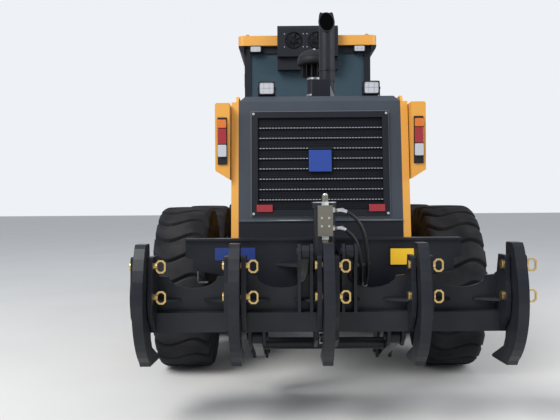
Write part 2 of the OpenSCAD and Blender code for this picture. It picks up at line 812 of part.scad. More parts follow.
module tyre(side, y) {
    color(black) from_tandem() translate([side * wheel_x, y, tyre_r]) rotate([0, side * 90, 0])
        rotate([0, 0, 90 - side * 90])
        lugged_tyre();
}

module rim(side, y) {
    bead_r = bead_d / 2;
    bore_r = spindle_d / 2 + bore_gap;
    hub_in = case_out + slide_gap - wheel_x;
    color(yellow) from_tandem() turned_wheel(side, y, [
        [bore_r, hub_in], [150, hub_in], [150, 20], [bead_r - 19, 20], [bead_r - 19, -164],
        [bead_r + 28, -rim_half - 12], [bead_r + 28, -rim_half], [bead_r, -164], [bead_r, 164],
        [bead_r + 28, rim_half], [bead_r + 28, rim_half + 12], [bead_r - 19, 164], [bead_r - 19, 46],
        [150, 62], [150, 96], [0, 96], [0, 60], [bore_r, 60]
    ]);
}

module tyre_back_left() { tyre(-1, -axle_half); }
module tyre_back_right() { tyre(1, -axle_half); }
module tyre_middle_left() { tyre(-1, axle_half); }
module tyre_middle_right() { tyre(1, axle_half); }
module tyre_front_left() { tyre(-1, wheelbase); }
module tyre_front_right() { tyre(1, wheelbase); }
module rim_back_left() { rim(-1, -axle_half); }
module rim_back_right() { rim(1, -axle_half); }
module rim_middle_left() { rim(-1, axle_half); }
module rim_middle_right() { rim(1, axle_half); }
module rim_front_left() { rim(-1, wheelbase); }
module rim_front_right() { rim(1, wheelbase); }

// Front frame: the gooseneck from the articulation pin to the front plate, its axle hangers and the
// ball's cheeks
neck_half = neck_w / 2;
barrel_low = hitch_low + hitch_lug_t + 5;
barrel_high = hitch_high - 5;
neck_under = tyre_r + 206;
hanger_x = 120;
plate_hole_d = 26;
lamp_boss_z = 1180;

module front_frame() {
    h = hitch_reach;
    c = circle_reach;
    b = ball_reach;
    f = front_reach;
    color(yellow) from_tandem() {
        difference() {
            union() {
                bar_z(2 * hitch_barrel_r, barrel_low, barrel_high, 0, hitch_reach);
                side_plate([
                    [h + 40, barrel_low], [h + 180, barrel_low], [h + 225, 1000], [h + 240, 1380],
                        [h + 300, 1560],
                    [c - 450, 1600], [c + 750, 1430], [b - 680, 1200], [b - 130, neck_under],
                    [wheelbase + 341, neck_under], [f - 80, 760], [f - 80, 1000], [f - 480, 1130],
                        [b + 200, 1160],
                    [b - 530, 1560], [c + 850, 1800], [c - 300, 1960], [h + 400, 1950], [h + 200, 1840],
                    [h + 80, 1600], [h + 60, 1480], [h + 60, hitch_high + hitch_lug_t + 30],
                        [h + 135, hitch_high + hitch_lug_t + 30], [h + 135, barrel_high],
                    [h + 40, barrel_high]
                ], -neck_half, neck_half);
            }
            bar_z(hitch_pin_d + 3 * bore_gap, barrel_low - 1, barrel_low + hitch_pin_l, 0, hitch_reach);
            bar_z(hitch_pin_d + 3 * bore_gap, barrel_high - hitch_pin_l, barrel_high + 1, 0, hitch_reach);
        }
        // Front plate
        difference() {
            block([-450, front_reach - 60, 560], [450, front_reach, 1000]);
            for (x = [-350, 350]) for (z = [640, 920])
                bar_y(plate_hole_d, front_reach - 61, front_reach + 1, x, z);
        }
        side_plate([[f - 100, 620], [f - 59, 620], [f - 59, 960], [f - 100, 960]], -260, 260);
        // Bosses for the head lamps' poles
        both_sides() block([70, f - 530, 1120], [130, f - 470, lamp_boss_z]);
        // Axle hangers, and the ball's cheeks with their pins
        for (y = [wheelbase - 150, wheelbase + 112])
            block([-hanger_x, y, tyre_r - 114], [hanger_x, y + 38, neck_under + 1]);
        both_sides() {
            side_plate([[ball_reach - 60, ball_z - 55], [ball_reach + 60, ball_z - 55],
                [ball_reach + 110, neck_under + 1],
                [ball_reach - 110, neck_under + 1]], 62, 92);
            bar_x(60, 40, 63, ball_reach, ball_z);
            // Arm that the articulation rod reaches
            for (z = [art_z + 31.5, art_z - 56.5]) translate([0, 0, z]) linear_extrude(25)
                polygon([[neck_half - 1, h + 80], [neck_half - 1, h + 220], [art_x + 20, h + 240],
                    [art_x + 50, h + 200], [art_x, h + 155], [400, h + 100]]);
        }
    }
}

// Saddle on the gooseneck, with the lift cylinders' barrels in its collars
lift_y = circle_reach - 250;
lift_low = 1430;
lift_high = 2480;
lift_rod_d = 70;
lift_ball_z = circle_z + 140;

module saddle() {
    color(slate) from_tandem() both_sides() difference() {
        union() {
            side_plate([[lift_y - 90, 1700], [lift_y + 90, 1700], [lift_y + 90, 1960], [lift_y - 90, 1960]],
                neck_half + seat_gap, 230);
            end_plate([[229, 1720], [229, 1940], [lift_x, 1880], [lift_x, 1740]], lift_y - 60, lift_y + 60);
            bar_z(lift_d + 70, 1730, 1890, lift_x, lift_y);
            bar_z(lift_d, lift_low, lift_high, lift_x, lift_y);
        }
        bar_z(lift_rod_d + 2 * bore_gap, lift_low - 1, lift_high - 40, lift_x, lift_y);
    }
}

module lift_rods() {
    color(steel) from_tandem() {
        both_sides() {
            bar_z(lift_rod_d, lift_ball_z, lift_high - 335, lift_x, lift_y);
            bar_x(110, lift_x - 50, lift_x + 50, lift_y, lift_ball_z);
        }
    }
}

// Front axle beam with a clevis for each lean yoke and the lean cylinder's barrel
lean_pin_d = 60;
axle_beam_half = 90;
yoke_half = 56;
lean_bar_y = wheelbase - 175;
lean_bar_z = tyre_r + 126;
lean_cyl_z = tyre_r + 41;
arm_z = tyre_r - 229;

module front_axle() {
    c = tyre_r;
    color(slate) from_tandem() {
        end_plate([[60 - lean_x, c - 134], [lean_x - 60, c - 134], [lean_x - 60, c - 14],
            [300, c + 71], [-300, c + 71],
            [60 - lean_x, c - 14]],
            wheelbase - axle_beam_half, wheelbase + axle_beam_half);
        bar_y(140, wheelbase - 112, wheelbase + 112, 0, c - 14);
        both_sides() {
            for (y = [wheelbase - axle_beam_half, wheelbase + yoke_half + 4])
                end_plate([[lean_x - 62, c - 134], [lean_x + 30, c - 129], [lean_x + 55, c - 74],
                    [lean_x + 30, c - 19],
                    [lean_x - 62, c - 14]], y, y + axle_beam_half - yoke_half - 4);
            bar_y(lean_pin_d, wheelbase - 105, wheelbase + 105, lean_x, lean_z);
        }
        // Lean cylinder barrel on its bracket behind the beam
        difference() {
            union() {
                bar_x(70, -520, -130, lean_bar_y, lean_cyl_z);
                block([-420, lean_bar_y, c + 16], [-360, wheelbase - axle_beam_half + 1, c + 64]);
            }
            bar_x(36 + 2 * bore_gap, -500, -129, lean_bar_y, lean_cyl_z);
        }
    }
}

module lean_yoke() {
    c = tyre_r;
    k = kingpin_x;
    color(slate) from_tandem() difference() {
        union() {
            bar_y(94, wheelbase - yoke_half, wheelbase + yoke_half, lean_x, lean_z);
            // C-shaped yoke round the knuckle
            end_plate([
                [k - 120, c - 114], [k - 70, c - 174], [k + 45, c - 178], [k + 45, c - 138],
                    [k - 54, c - 134], [k - 54, c + 126],
                [k + 45, c + 130], [k + 45, c + 170], [k - 120, c + 170], [k - 120, c + 86], [k - 100, c - 24]
            ], wheelbase - yoke_half, wheelbase + yoke_half);
            block([k - 120, lean_bar_y + 25 + slide_gap, lean_bar_z - 30],
                [k - 70, wheelbase - yoke_half + 1, lean_bar_z + 30]);
        }
        bar_y(lean_pin_d + 2 * bore_gap, wheelbase - yoke_half - 1, wheelbase + yoke_half + 1, lean_x, lean_z);
        bar_z(kingpin_d + 2 * bore_gap, c - 179, c + 171, k, wheelbase);
    }
}

module lean_yoke_right() {
    lean_yoke();
}

module lean_yoke_left() {
    mirror([1, 0, 0]) lean_yoke();
}

module knuckle() {
    color(slate) from_tandem() {
        bar_z(96, tyre_r - 133, tyre_r + 125, kingpin_x, wheelbase);
        bar_z(kingpin_d, tyre_r - 188, tyre_r + 176, kingpin_x, wheelbase);
        bar_x(200, kingpin_x + 30, case_out, wheelbase, tyre_r);
        bar_x(spindle_d, case_out - 1, wheel_x - spindle_in, wheelbase, tyre_r);
        // Steering arm under the yoke
        translate([kingpin_x, wheelbase, arm_z]) linear_extrude(42) intersection() {
            circle(r = arm_l);
            polygon([[-45, 30], [45, 30], [45, -40], [-8, -arm_l - 10], [-70, -arm_l - 10]]);
        }
    }
}

module knuckle_right() {
    knuckle();
}

module knuckle_left() {
    mirror([1, 0, 0]) knuckle();
}

module lean_bar() {
    color(steel) from_tandem() {
        bar_x(44, -lean_x - 5, lean_x + 5, lean_bar_y, lean_bar_z);
        both_sides() bar_y(60, lean_bar_y - 25, lean_bar_y + 25, lean_x + 5, lean_bar_z);
        // Lean cylinder rod and the lug that ties it to the bar
        bar_x(36, -330, 250, lean_bar_y, lean_cyl_z);
        block([210, lean_bar_y - 18, lean_cyl_z - 15], [250, lean_bar_y + 18, lean_bar_z]);
    }
}

module tie_rod() {
    y = wheelbase - arm_l - slide_gap - 20;
    color(steel) from_tandem() {
        bar_x(40, 60 - kingpin_x, kingpin_x - 60, y, arm_z + 21);
        both_sides() block([kingpin_x - 72, y - 24, arm_z - 5], [kingpin_x - 2, y + 20, arm_z + 47]);
    }
}

// Drawbar: ball, two beams, and the plate over the circle
drawbar_low = circle_z + 20;
drawbar_high = drawbar_low + 100;

module drawbar() {
    b = ball_reach;
    w = circle_r - 135;
    color(slate) from_tandem() {
        difference() {
            translate([0, ball_reach, ball_z]) sphere(d = 110);
            bar_x(60 + 2 * bore_gap, -60, 60, ball_reach, ball_z);
        }
        side_plate([[ball_reach - 42, ball_z - 36], [ball_reach - 42, ball_z + 36],
            [b - 380, ball_z + 100], [b - 440, ball_z - 30]], -45, 45);
        both_sides() difference() {
            translate([0, 0, 700]) linear_extrude(drawbar_high - 700) polygon([
                [0, b - 320], [45, b - 320], [560, circle_reach + 750], [460, circle_reach + 660], [0, b - 540]
            ]);
            side_plate([[b - 280, 600], [b - 280, ball_z - 38], [circle_reach + 700, drawbar_low],
                [circle_reach + 600, drawbar_low],
                [circle_reach + 600, 600]], -10, 700);
            side_plate([[b - 280, 1100], [b - 280, ball_z + 84], [circle_reach + 700, drawbar_high],
                [circle_reach + 700, 1100]], -10, 700);
        }
        // Ears for the lift rods
        both_sides() block([400, lift_y - 60, drawbar_low], [lift_x - 52, lift_y + 60, drawbar_low + 175]);
        translate([0, circle_reach, 0]) {
            difference() {
                translate([0, 0, drawbar_low]) linear_extrude(drawbar_high - drawbar_low) polygon([
                    [70 - w, 760], [-w, 300], [-w, -350], [200 - w, -710], [w - 200, -710], [w, -350],
                        [w, 300], [w - 70, 760]
                ]);
                translate([0, 0, drawbar_low - 1]) linear_extrude(drawbar_high - drawbar_low + 2) polygon([
                    [-380, 560], [-470, 220], [-470, -140], [470, -140], [470, 220], [380, 560]
                ]);
            }
            // Circle shoes and the circle's drive
            for (a = [45 : 90 : 359]) rotate([0, 0, a])
                block([circle_r - 72, -60, circle_z + seat_gap], [circle_r - 6, 60, drawbar_low + 1]);
            bar_z(260, drawbar_high - 1, drawbar_high + 130, 0, -540);
        }
    }
}

// What turns with the circle is written from the circle's centre
module from_circle() {
    from_tandem() translate([0, circle_reach, 0]) children();
}

// Circle: toothed ring with the arms that carry the blade
ring_in = 75;
circle_low = circle_z - circle_t;
circle_arm = [600, 640];
pitch_pivot = [-230, 360];
pitch_pin_d = 60;
tooth_count = 60;

module circle_ring() {
    translate([0, 0, circle_low]) linear_extrude(circle_t) difference() {
        circle(r = circle_r, $fn = 120);
        circle(r = circle_r - ring_in, $fn = 120);
        for (i = [0 : tooth_count - 1]) rotate(i * 360 / tooth_count)
            polygon([[circle_r - ring_in - 1, -12], [circle_r - ring_in + 22, -7], [circle_r - ring_in + 22, 7],
                [circle_r - ring_in - 1, 12]]);
    }
}

module circle_node() {
    color(slate) from_circle() {
        circle_ring();
        both_sides() difference() {
            union() {
                side_plate([[-450, circle_low + 1], [-315, circle_low + 1], [-320, 620], [-250, 470],
                    [-185, 400],
                    [-178, 330], [-215, 300], [-280, 300], [-435, 560],
                        [-460, 700]], circle_arm[0], circle_arm[1]);
                bar_x(120, circle_arm[0] - 4, circle_arm[1] + 4, pitch_pivot[0], pitch_pivot[1]);
            }
            bar_x(pitch_pin_d + 2 * bore_gap, circle_arm[0] - 6, circle_arm[1] + 6, pitch_pivot[0],
                pitch_pivot[1]);
        }
        block([-circle_arm[0] - 1, -445, 640], [circle_arm[0] + 1, -355, 730]);
    }
}

// Blade carrier: side brackets on the pitch pins, shoes round the moldboard's rails and the shift
// cylinder's barrel
carrier_x = [500, 590];
rail_rows = [[-155, 600], [-145, 250]];
rail_size = [70, 44];
shift_y = -150;
shift_z = 450;

module blade_carrier() {
    color(slate) from_circle() difference() {
        union() {
            both_sides() {
                side_plate([
                    [-280, 330], [-250, 300], [-195, 215], [-100, 215], [-94, 290], [-110, 330], [-100, 560],
                    [-110, 655], [-200, 655], [-210, 560], [-270, 400]
                ], carrier_x[0], carrier_x[1]);
                bar_x(pitch_pin_d, carrier_x[1] - 1, circle_arm[1] + 14, pitch_pivot[0], pitch_pivot[1]);
            }
            bar_x(60, -1320, -50, shift_y, shift_z);
            block([-carrier_x[0] - 1, -230, 470], [carrier_x[0] + 1, -190, 560]);
        }
        both_sides() for (r = rail_rows) block(
            [carrier_x[0] - 1, r[0] - rail_size[0] / 2 - slide_gap, r[1] - slide_gap],
            [carrier_x[1] + 1, 0, r[1] + rail_size[1] + slide_gap]);
        bar_x(36 + 2 * bore_gap, -1300, -49, shift_y, shift_z);
        bar_x(60, carrier_x[0] - 1, carrier_x[1] + 1, shift_y, shift_z);
    }
}

// Moldboard: a curved plate with end bits, two rails behind it and the shift cylinder's rod
blade_bulge = 95;
blade_face_y = 40;

function blade_curve(shift) = [
    for (i = [0 : 12]) let (t = i / 12)
        [blade_face_y - 20 * t + shift - 4 * blade_bulge * t * (1 - t),
            blade_low + (blade_high - blade_low) * t]
];

function reversed(list) = [for (i = [len(list) - 1 : -1 : 0]) list[i]];

module moldboard() {
    color(slate) from_circle() {
        side_plate(concat(blade_curve(0), reversed(blade_curve(-blade_t))), -blade_half, blade_half);
        side_plate([[36, blade_low], [52, blade_low], [36, 270], [10, 300]], -blade_half, blade_half);
        for (r = rail_rows)
            block([-1250, r[0] - rail_size[0] / 2, r[1]], [1250, r[0] + rail_size[0] / 2, r[1] + rail_size[1]]);
        for (x = [-1235, -420, 420, 1235]) for (r = rail_rows)
            block([x - 15, r[0] - 10, r[1] + 2], [x + 15, -20, r[1] + rail_size[1] - 2]);
        bar_x(36, -680, 1230, shift_y, shift_z);
        block([1215, shift_y - 24, shift_z - 24], [1245, -65, shift_z + 24]);
    }
}

// Ripper: four links, a beam with shank pockets, shanks, the lift cylinder and its hoses
lower_eye = lower_pivot + [-link_run, link_rise];
upper_eye = upper_pivot + [-link_run, link_rise];
lower_arm = [lower_plates[0][1] + 5, lower_plates[1][0] - 5];
upper_arm = [upper_plates[0][1] + 5, upper_plates[1][0] - 5];
beam_back = -2470;
beam_front = -2110;
web_back = -2385;
beam_low = 590;
beam_high = 710;
recess_half = 100;
recess_back = -2290;
rod_eye = [-2150, 500];
trunnion_d = 50;
shank_half = shank_t / 2;
pocket_half = shank_half + shank_gap;
shank_pins = [[-2530, 1005], [-2530, 817]];
shank_xs = [for (i = [0 : shank_count - 1]) (i - (shank_count - 1) / 2) * shank_pitch];

module ripper_lower_link() {
    color(slate) from_bumper() {
        both_sides() side_link(lower_pivot, lower_eye, 96, lower_arm[0], lower_arm[1],
            link_pin_d + 2 * bore_gap);
        bar_x(80, -lower_arm[0] - 1, lower_arm[0] + 1, lower_pivot[0] - link_run / 2,
            lower_pivot[1] + link_rise / 2);
    }
}

module ripper_upper_links() {
    color(slate) from_bumper() both_sides()
        side_link(upper_pivot, upper_eye, 86, upper_arm[0], upper_arm[1], link_pin_d + 2 * bore_gap);
}

module ripper_beam() {
    beam_half = max(shank_xs) + pocket_half + pocket_t;
    color(slate) from_bumper() {
        difference() {
            block([-beam_half, beam_back, beam_low], [beam_half, beam_front, beam_high]);
            block([-recess_half, recess_back, beam_low - 1], [recess_half, beam_front + 1, beam_high + 1]);
            both_sides() block([lower_plates[0][1] - 2, -2292, beam_low - 1],
                [lower_plates[1][0] + 2, beam_front + 1, beam_high + 1]);
        }
        // Pocket plates and pins for each shank
        for (x = shank_xs) for (s = [-1, 1]) {
            x0 = x + (s > 0 ? pocket_half : -pocket_half - pocket_t);
            difference() {
                side_plate([
                    [-2475, 600], [-2585, 700], [-2606, 790], [-2606, 840], [-2585, 910],
                        [-2575, 1050], [-2560, 1062],
                    [-2440, 1062], [-2405, 950], [-2352, 932], [-2335, 850], [-2300, beam_high - 1],
                        [-2300, 600]
                ], x0, x0 + pocket_t);
                for (p = shank_pins)
                    bar_x(shank_pin_d + 2 * bore_gap, x0 - 1, x0 + pocket_t + 1, p[0], p[1]);
            }
        }
        // Webs with a scooped upper edge between the pockets
        for (i = [0 : shank_count - 2]) {
            a = shank_xs[i] + pocket_half + pocket_t - 1;
            b = shank_xs[i + 1] - pocket_half - pocket_t + 1;
            m = (a + b) / 2;
            end_plate(concat(
                [[a, beam_high - 1], [b, beam_high - 1], [b, 930]],
                [for (k = [0 : 8]) [m + (b - m - 60) * cos(k * 22.5), 925 - 75 * sin(k * 22.5)]],
                [[a, 930]]
            ), web_back, web_back + 25);
            // Short gussets between the web and the pocket plates
            for (g = [[a, a + 140], [b, b - 140]]) translate([0, 0, 772]) linear_extrude(14)
                polygon([[g[0], beam_back], [g[0], web_back + 1], [g[1], web_back + 1], [g[1], web_back - 18]]);
        }
        // Ears for the upper links, the lower links and the cylinder rod
        both_sides() {
            for (p = upper_plates)
                side_plate([[-2470, beam_high - 1], [-2300, beam_high - 1], [-2380, 960], [-2418, 1080],
                    [-2440, 1128], [-2490, 1132], [-2525, 1090], [-2520, 1040], [-2470, 960]], p[0], p[1]);
            bar_x(link_pin_d, upper_plates[0][0] - 8, upper_plates[1][1] + 8, upper_eye[0], upper_eye[1]);
            for (p = lower_plates)
                side_plate([[-2370, beam_low + 1], [-2330, 500], [-2290, 465], [-2235, 465], [-2205, 500],
                    [-2180, beam_low + 1]], p[0], p[1]);
            bar_x(link_pin_d, lower_plates[0][0] - 14, lower_plates[1][1] + 14, lower_eye[0], lower_eye[1]);
            side_plate([[-2400, beam_low + 1], [-2390, 520], [-2200, 440], [-2110, 442], [-2090, 500],
                [-2120, 560],
                [recess_back, beam_low + 1]], 54, 76);
            bar_x(60, 42, 55, rod_eye[0], rod_eye[1]);
        }
    }
}

// A shank curves back from its head and hooks forward to its tip: an upper arc and a lower one that
// meet at arc_z
arc_z = 790;
shank_back = bumper_home + 730;
upper_arc_r = 600;
lower_arc_r = 450;

module ripper_shanks() {
    color(slate) from_bumper() for (x = shank_xs) difference() {
        side_plate(concat(
            [[-2480, 1128], [-2492, 1140], [-2600, 1140]],
            arc([upper_arc_r - shank_back, arc_z], upper_arc_r, 147, 180, 5),
            arc([lower_arc_r - shank_back, arc_z], lower_arc_r, 188, 236, 6),
            [[-2496, 386], [-2196, 372], [-2182, 384], [-2430, 492], [-2468, 552], [-2480, 640]]
        ), x - shank_half, x + shank_half);
        for (p = shank_pins)
            bar_x(shank_pin_d + 2 * bore_gap, x - shank_half - 1, x + shank_half + 1, p[0], p[1]);
    }
}

// Loose pins that hold the shanks: a head at the left, a ring handle at the right
module ring_plan(w, h, c) {
    polygon([[c, 0], [w - c, 0], [w, c], [w, h - c], [w - c, h], [c, h], [0, h - c], [0, c]]);
}

module ripper_pins() {
    reach = pocket_half + pocket_t;
    color(zinc) from_bumper() for (x = shank_xs) for (p = shank_pins) translate([x, p[0], p[1]]) {
        bar_x(shank_pin_d, -reach - 12, reach + 20, 0, 0);
        bar_x(shank_pin_d + 18, -reach - 12, -reach - seat_gap, 0, 0);
        translate([reach + 12, 5, -44]) rotate([90, 0, 0]) linear_extrude(10) difference() {
            ring_plan(60, 80, 16);
            translate([10, 10]) ring_plan(40, 60, 12);
        }
    }
}

cyl_low = 620;
cyl_high = 1375;
cyl_rod_d = 66;
valve_y = [trunnion[0] - ripper_cyl_d / 2 - 77, trunnion[0] - ripper_cyl_d / 2 - 8.5];

module ripper_cylinder_barrel() {
    color(slate) from_bumper() {
        difference() {
            union() {
                bar_z(ripper_cyl_d, cyl_low, cyl_high, 0, trunnion[0]);
                for (z = [1185, 1305]) block([-30, valve_y[1] + seat_gap, z], [30, trunnion[0] - 40, z + 40]);
            }
            bar_z(cyl_rod_d + 2 * bore_gap, cyl_low - 1, cyl_high - 60, 0, trunnion[0]);
        }
        bar_z(ripper_cyl_d + 14, cyl_high - 30, cyl_high + 6, 0, trunnion[0]);
        both_sides() bar_x(trunnion_d, ripper_cyl_d / 2 - 5, 105, trunnion[0], trunnion[1]);
    }
}

// Valve block on the cylinder, with its hose ports and end fittings
module ripper_valve() {
    color(zinc) from_bumper() {
        block([-48, valve_y[0], 1168], [48, valve_y[1], 1365]);
        for (z = [1215, 1330]) bar_x(32, 47, 78, -2262, z);
        bar_z(40, 1364, 1430, 0, -2262);
        bar_z(40, 1120, 1169, 0, -2262);
    }
}

module ripper_cylinder_rod() {
    color(steel) from_bumper() {
        bar_z(cyl_rod_d, rod_eye[1] + 40, cyl_high - 80, 0, trunnion[0]);
        difference() {
            bar_x(96, -38, 38, rod_eye[0], rod_eye[1]);
            bar_x(52, -39, 39, rod_eye[0], rod_eye[1]);
        }
    }
}

// Hose routes from the valve block's ports to the bumper, as [x, y, z]
hose_d = 24;
hose_sides = 8;
hose_routes = [
    [[78.3, -2262, 1330], [112, -2262, 1330], [170, -2262, 1302], [222, -2258, 1245], [255, -2247, 1165],
        [270, -2228, 1070], [276, -2198, 975], [278, -2150, 895], [278, -2090, 845],
            [278, -2035, 828], [278, -1991, 826]],
    [[78.3, -2262, 1215], [108, -2262, 1215], [152, -2262, 1188], [194, -2257, 1138], [220, -2245, 1065],
        [234, -2222, 980], [238, -2185, 900], [238, -2138, 835], [238, -2085, 792], [238, -2035, 777],
            [238, -1991, 775]]
];

function unit(v) = v / norm(v);
function heading(p, i) = unit(p[min(i + 1, len(p) - 1)] - p[max(i - 1, 0)]);
function ring(p, i, d, n) = let (t = heading(p, i), u = unit(cross(t, [1, 1, 1])), v = cross(t, u))
    [for (k = [0 : n - 1]) p[i] + d / 2 * (cos(360 * k / n) * u + sin(360 * k / n) * v)];

module swept_hose(p, d, n) {
    points = [for (i = [0 : len(p) - 1]) for (q = ring(p, i, d, n)) q];
    last = (len(p) - 1) * n;
    polyhedron(points, concat(
        [[for (k = [0 : n - 1]) k]],
        [for (i = [0 : len(p) - 2]) for (k = [0 : n - 1])
            [i * n + k, (i + 1) * n + k, (i + 1) * n + (k + 1) % n, i * n + (k + 1) % n]],
        [[for (k = [n - 1 : -1 : 0]) last + k]]
    ));
}

module ripper_hoses() {
    color(black) from_bumper() for (route = hose_routes) swept_hose(route, hose_d, hose_sides);
}

module head_lamps() {
    f = front_reach;
    color(black) from_tandem() both_sides() {
        bar_z(40, lamp_boss_z, 1640, 100, f - 500);
        block([100, f - 515, 1600], [330, f - 485, 1630]);
        block([200, f - 520, 1630], [350, f - 440, 1740]);
    }
}

rear_frame();
rear_bumper();
rear_axle();
hood_shell();
hood_side_panels();
hood_door_left();
hood_door_right();
grille();
engine();
exhaust_stack();
air_precleaner();
cab_frame();
cab_roof();
cab_glass();
cab_door_left();
cab_door_right();
cab_console();
seat();
air_conditioner();
rear_lamps();
step_boxes();
articulation_barrels();
tyre_back_left();
tyre_back_right();
tyre_middle_left();
tyre_middle_right();
tyre_front_left();
tyre_front_right();
rim_back_left();
rim_back_right();
rim_middle_left();
rim_middle_right();
rim_front_left();
rim_front_right();
front_frame();
saddle();
front_axle();
head_lamps();
articulation_rod_left();
articulation_rod_right();
lean_yoke_left();
lean_yoke_right();
knuckle_left();
knuckle_right();
lean_bar();
tie_rod();
drawbar();
circle_node();  // circle
blade_carrier();
moldboard();
lift_rods();
ripper_lower_link();
ripper_upper_links();
ripper_beam();
ripper_shanks();
ripper_pins();
ripper_cylinder_barrel();
ripper_valve();
ripper_cylinder_rod();
ripper_hoses();
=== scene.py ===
# Dresses the motor grader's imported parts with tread, mesh, lamps, plates, fittings, hoses and finishes.
# Everything is in metres in the part's own frame: +Y is forward, +X is right and +Z is up.

import math

import bmesh
import bpy
import numpy as np
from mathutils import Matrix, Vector


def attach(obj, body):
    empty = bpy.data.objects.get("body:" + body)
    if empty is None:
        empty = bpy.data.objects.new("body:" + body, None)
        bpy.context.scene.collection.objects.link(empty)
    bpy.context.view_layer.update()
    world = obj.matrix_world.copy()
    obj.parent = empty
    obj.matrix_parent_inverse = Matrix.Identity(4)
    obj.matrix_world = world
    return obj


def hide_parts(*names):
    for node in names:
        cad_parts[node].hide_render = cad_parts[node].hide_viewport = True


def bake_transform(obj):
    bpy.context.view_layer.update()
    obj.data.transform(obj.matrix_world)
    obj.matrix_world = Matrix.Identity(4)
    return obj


bl_info = {
    "name": "Motor grader",
    "version": (1, 0, 0),
    "blender": (4, 5, 0),
    "location": "View3D > Sidebar > Grader",
    "description": "Builds the looks of a motor grader with a rear ripper over its packed parts",
    "category": "Add Mesh",
}

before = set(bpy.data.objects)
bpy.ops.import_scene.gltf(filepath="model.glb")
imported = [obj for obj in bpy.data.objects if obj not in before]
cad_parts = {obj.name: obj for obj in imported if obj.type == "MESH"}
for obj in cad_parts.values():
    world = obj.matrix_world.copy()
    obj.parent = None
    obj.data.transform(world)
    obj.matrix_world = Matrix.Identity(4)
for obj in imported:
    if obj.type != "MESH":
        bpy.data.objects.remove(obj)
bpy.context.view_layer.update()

# The tandem's centre in the part's frame: most pieces are drawn from it, and placed() moves them
TANDEM_Y = -2.130
# The wheels' middles across the machine and their axles' height
WHEEL_X = 1.0775
AXLE_Z = 0.674
LABELS = {-1: "left", 1: "right"}
# Each wheel's side, its name and how far ahead of the tandem's centre its axle lies
WHEELS = [(side, place + "_" + label, y) for side, label in LABELS.items()
          for place, y in (("back", -0.769), ("middle", 0.769), ("front", 6.219))]


# Meshes from arrays: a part is a vertex array with a list of faces


def linked(name, data):
    """A new object in the scene."""
    thing = bpy.data.objects.new(name, data)
    bpy.context.scene.collection.objects.link(thing)
    return thing


def make_piece(name, part, kind, body="root", smooth=False):
    """Puts a part into a mesh object of one finish that rides on a body, or on none yet."""
    verts, faces = part
    mesh = bpy.data.meshes.new(name)
    mesh.from_pydata(np.asarray(verts, float).tolist(), [], faces)
    mesh.validate()
    mesh.materials.append(finishes[kind].mat)
    if smooth:
        mesh.shade_smooth()
    piece = linked(name, mesh)
    if body:
        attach(piece, body)
    return piece


def grid_faces(rows, columns, wrap_rows=False, wrap_columns=False):
    """Quads of a grid whose point (i, j) is vertex i * columns + j."""
    i = np.arange(rows if wrap_rows else rows - 1)
    j = np.arange(columns if wrap_columns else columns - 1)
    i, j = [a.ravel() for a in np.meshgrid(i, j, indexing="ij")]
    i1 = (i + 1) % rows
    j1 = (j + 1) % columns
    return np.stack([i * columns + j, i * columns + j1, i1 * columns + j1, i1 * columns + j], 1)


def join(parts):
    """One part from several."""
    verts = [np.asarray(v, float) for v, _ in parts]
    starts = np.cumsum([0] + [len(v) for v in verts]).tolist()
    faces = [[k + start for k in face] for start, (_, own) in zip(starts, parts) for face in own]
    return np.concatenate(verts), faces


BOX_CORNERS = np.array([[x, y, z] for x in (0, 1) for y in (0, 1) for z in (0, 1)], float)
BOX_FACES = [[0, 1, 3, 2], [4, 6, 7, 5], [0, 4, 5, 1], [2, 3, 7, 6], [0, 2, 6, 4], [1, 5, 7, 3]]


def box(low, high):
    """The box between two corners."""
    low = np.array(low, float)
    high = np.array(high, float)
    return low + BOX_CORNERS * (high - low), BOX_FACES


def circle(count, radius=1.0):
    """Points of a circle as two columns, anticlockwise from (radius, 0)."""
    a = np.linspace(0, 2 * np.pi, count, endpoint=False)
    return radius * np.stack([np.cos(a), np.sin(a)], 1)


def tube(path, radius, sides=10, closed=False):
    """A round tube along a path: each ring is centre + r cos(a) u + r sin(a) w, square to the tangent t."""
    p = np.asarray(path, float)
    n = len(p)
    t = (np.roll(p, -1, 0) - np.roll(p, 1, 0)) if closed else np.gradient(p, axis=0)
    t /= np.linalg.norm(t, axis=1)[:, None]
    # A loop's rings stand square to its own plane, and an open path's to the axis that it leaves least
    ref = np.linalg.svd(p - p.mean(0))[2][-1] if closed else np.eye(3)[int(np.argmin(np.ptp(p, axis=0)))]
    u = np.cross(t, ref)
    u /= np.linalg.norm(u, axis=1)[:, None]
    w = np.cross(t, u)
    cos, sin = circle(sides).T[..., None]
    rings = p[:, None] + radius * (cos * u[:, None] + sin * w[:, None])
    faces = grid_faces(n, sides, wrap_rows=closed, wrap_columns=True).tolist()
    if not closed:
        faces.append(list(range(sides - 1, -1, -1)))
        faces.append(list(range((n - 1) * sides, n * sides)))
    return rings.reshape(-1, 3), faces


def pin(centre, low, high, radius, sides, axis):
    """A straight round or hexagonal bar along an axis: centre has the other two places in order."""
    ends = [list(centre), list(centre)]
    ends[0].insert("xyz".index(axis), low)
    ends[1].insert("xyz".index(axis), high)
    return tube(ends, radius, sides)


def signed_area(outline):
    """The shoelace area of a two-column outline: positive where it runs anticlockwise."""
    p = np.asarray(outline, float)
    q = np.roll(p, -1, 0)
    return float(np.sum(p[:, 0] * q[:, 1] - q[:, 0] * p[:, 1]) / 2)


# Where a profile's cosine, sine and distance along the axis go
TURNED_COLUMNS = {"x": (1, 2, 0), "y": (2, 0, 1), "z": (0, 1, 2)}
# Where an outline's two columns and its place along the axis go
FLAT_COLUMNS = {"x": (1, 2, 0), "y": (0, 2, 1), "z": (0, 1, 2)}


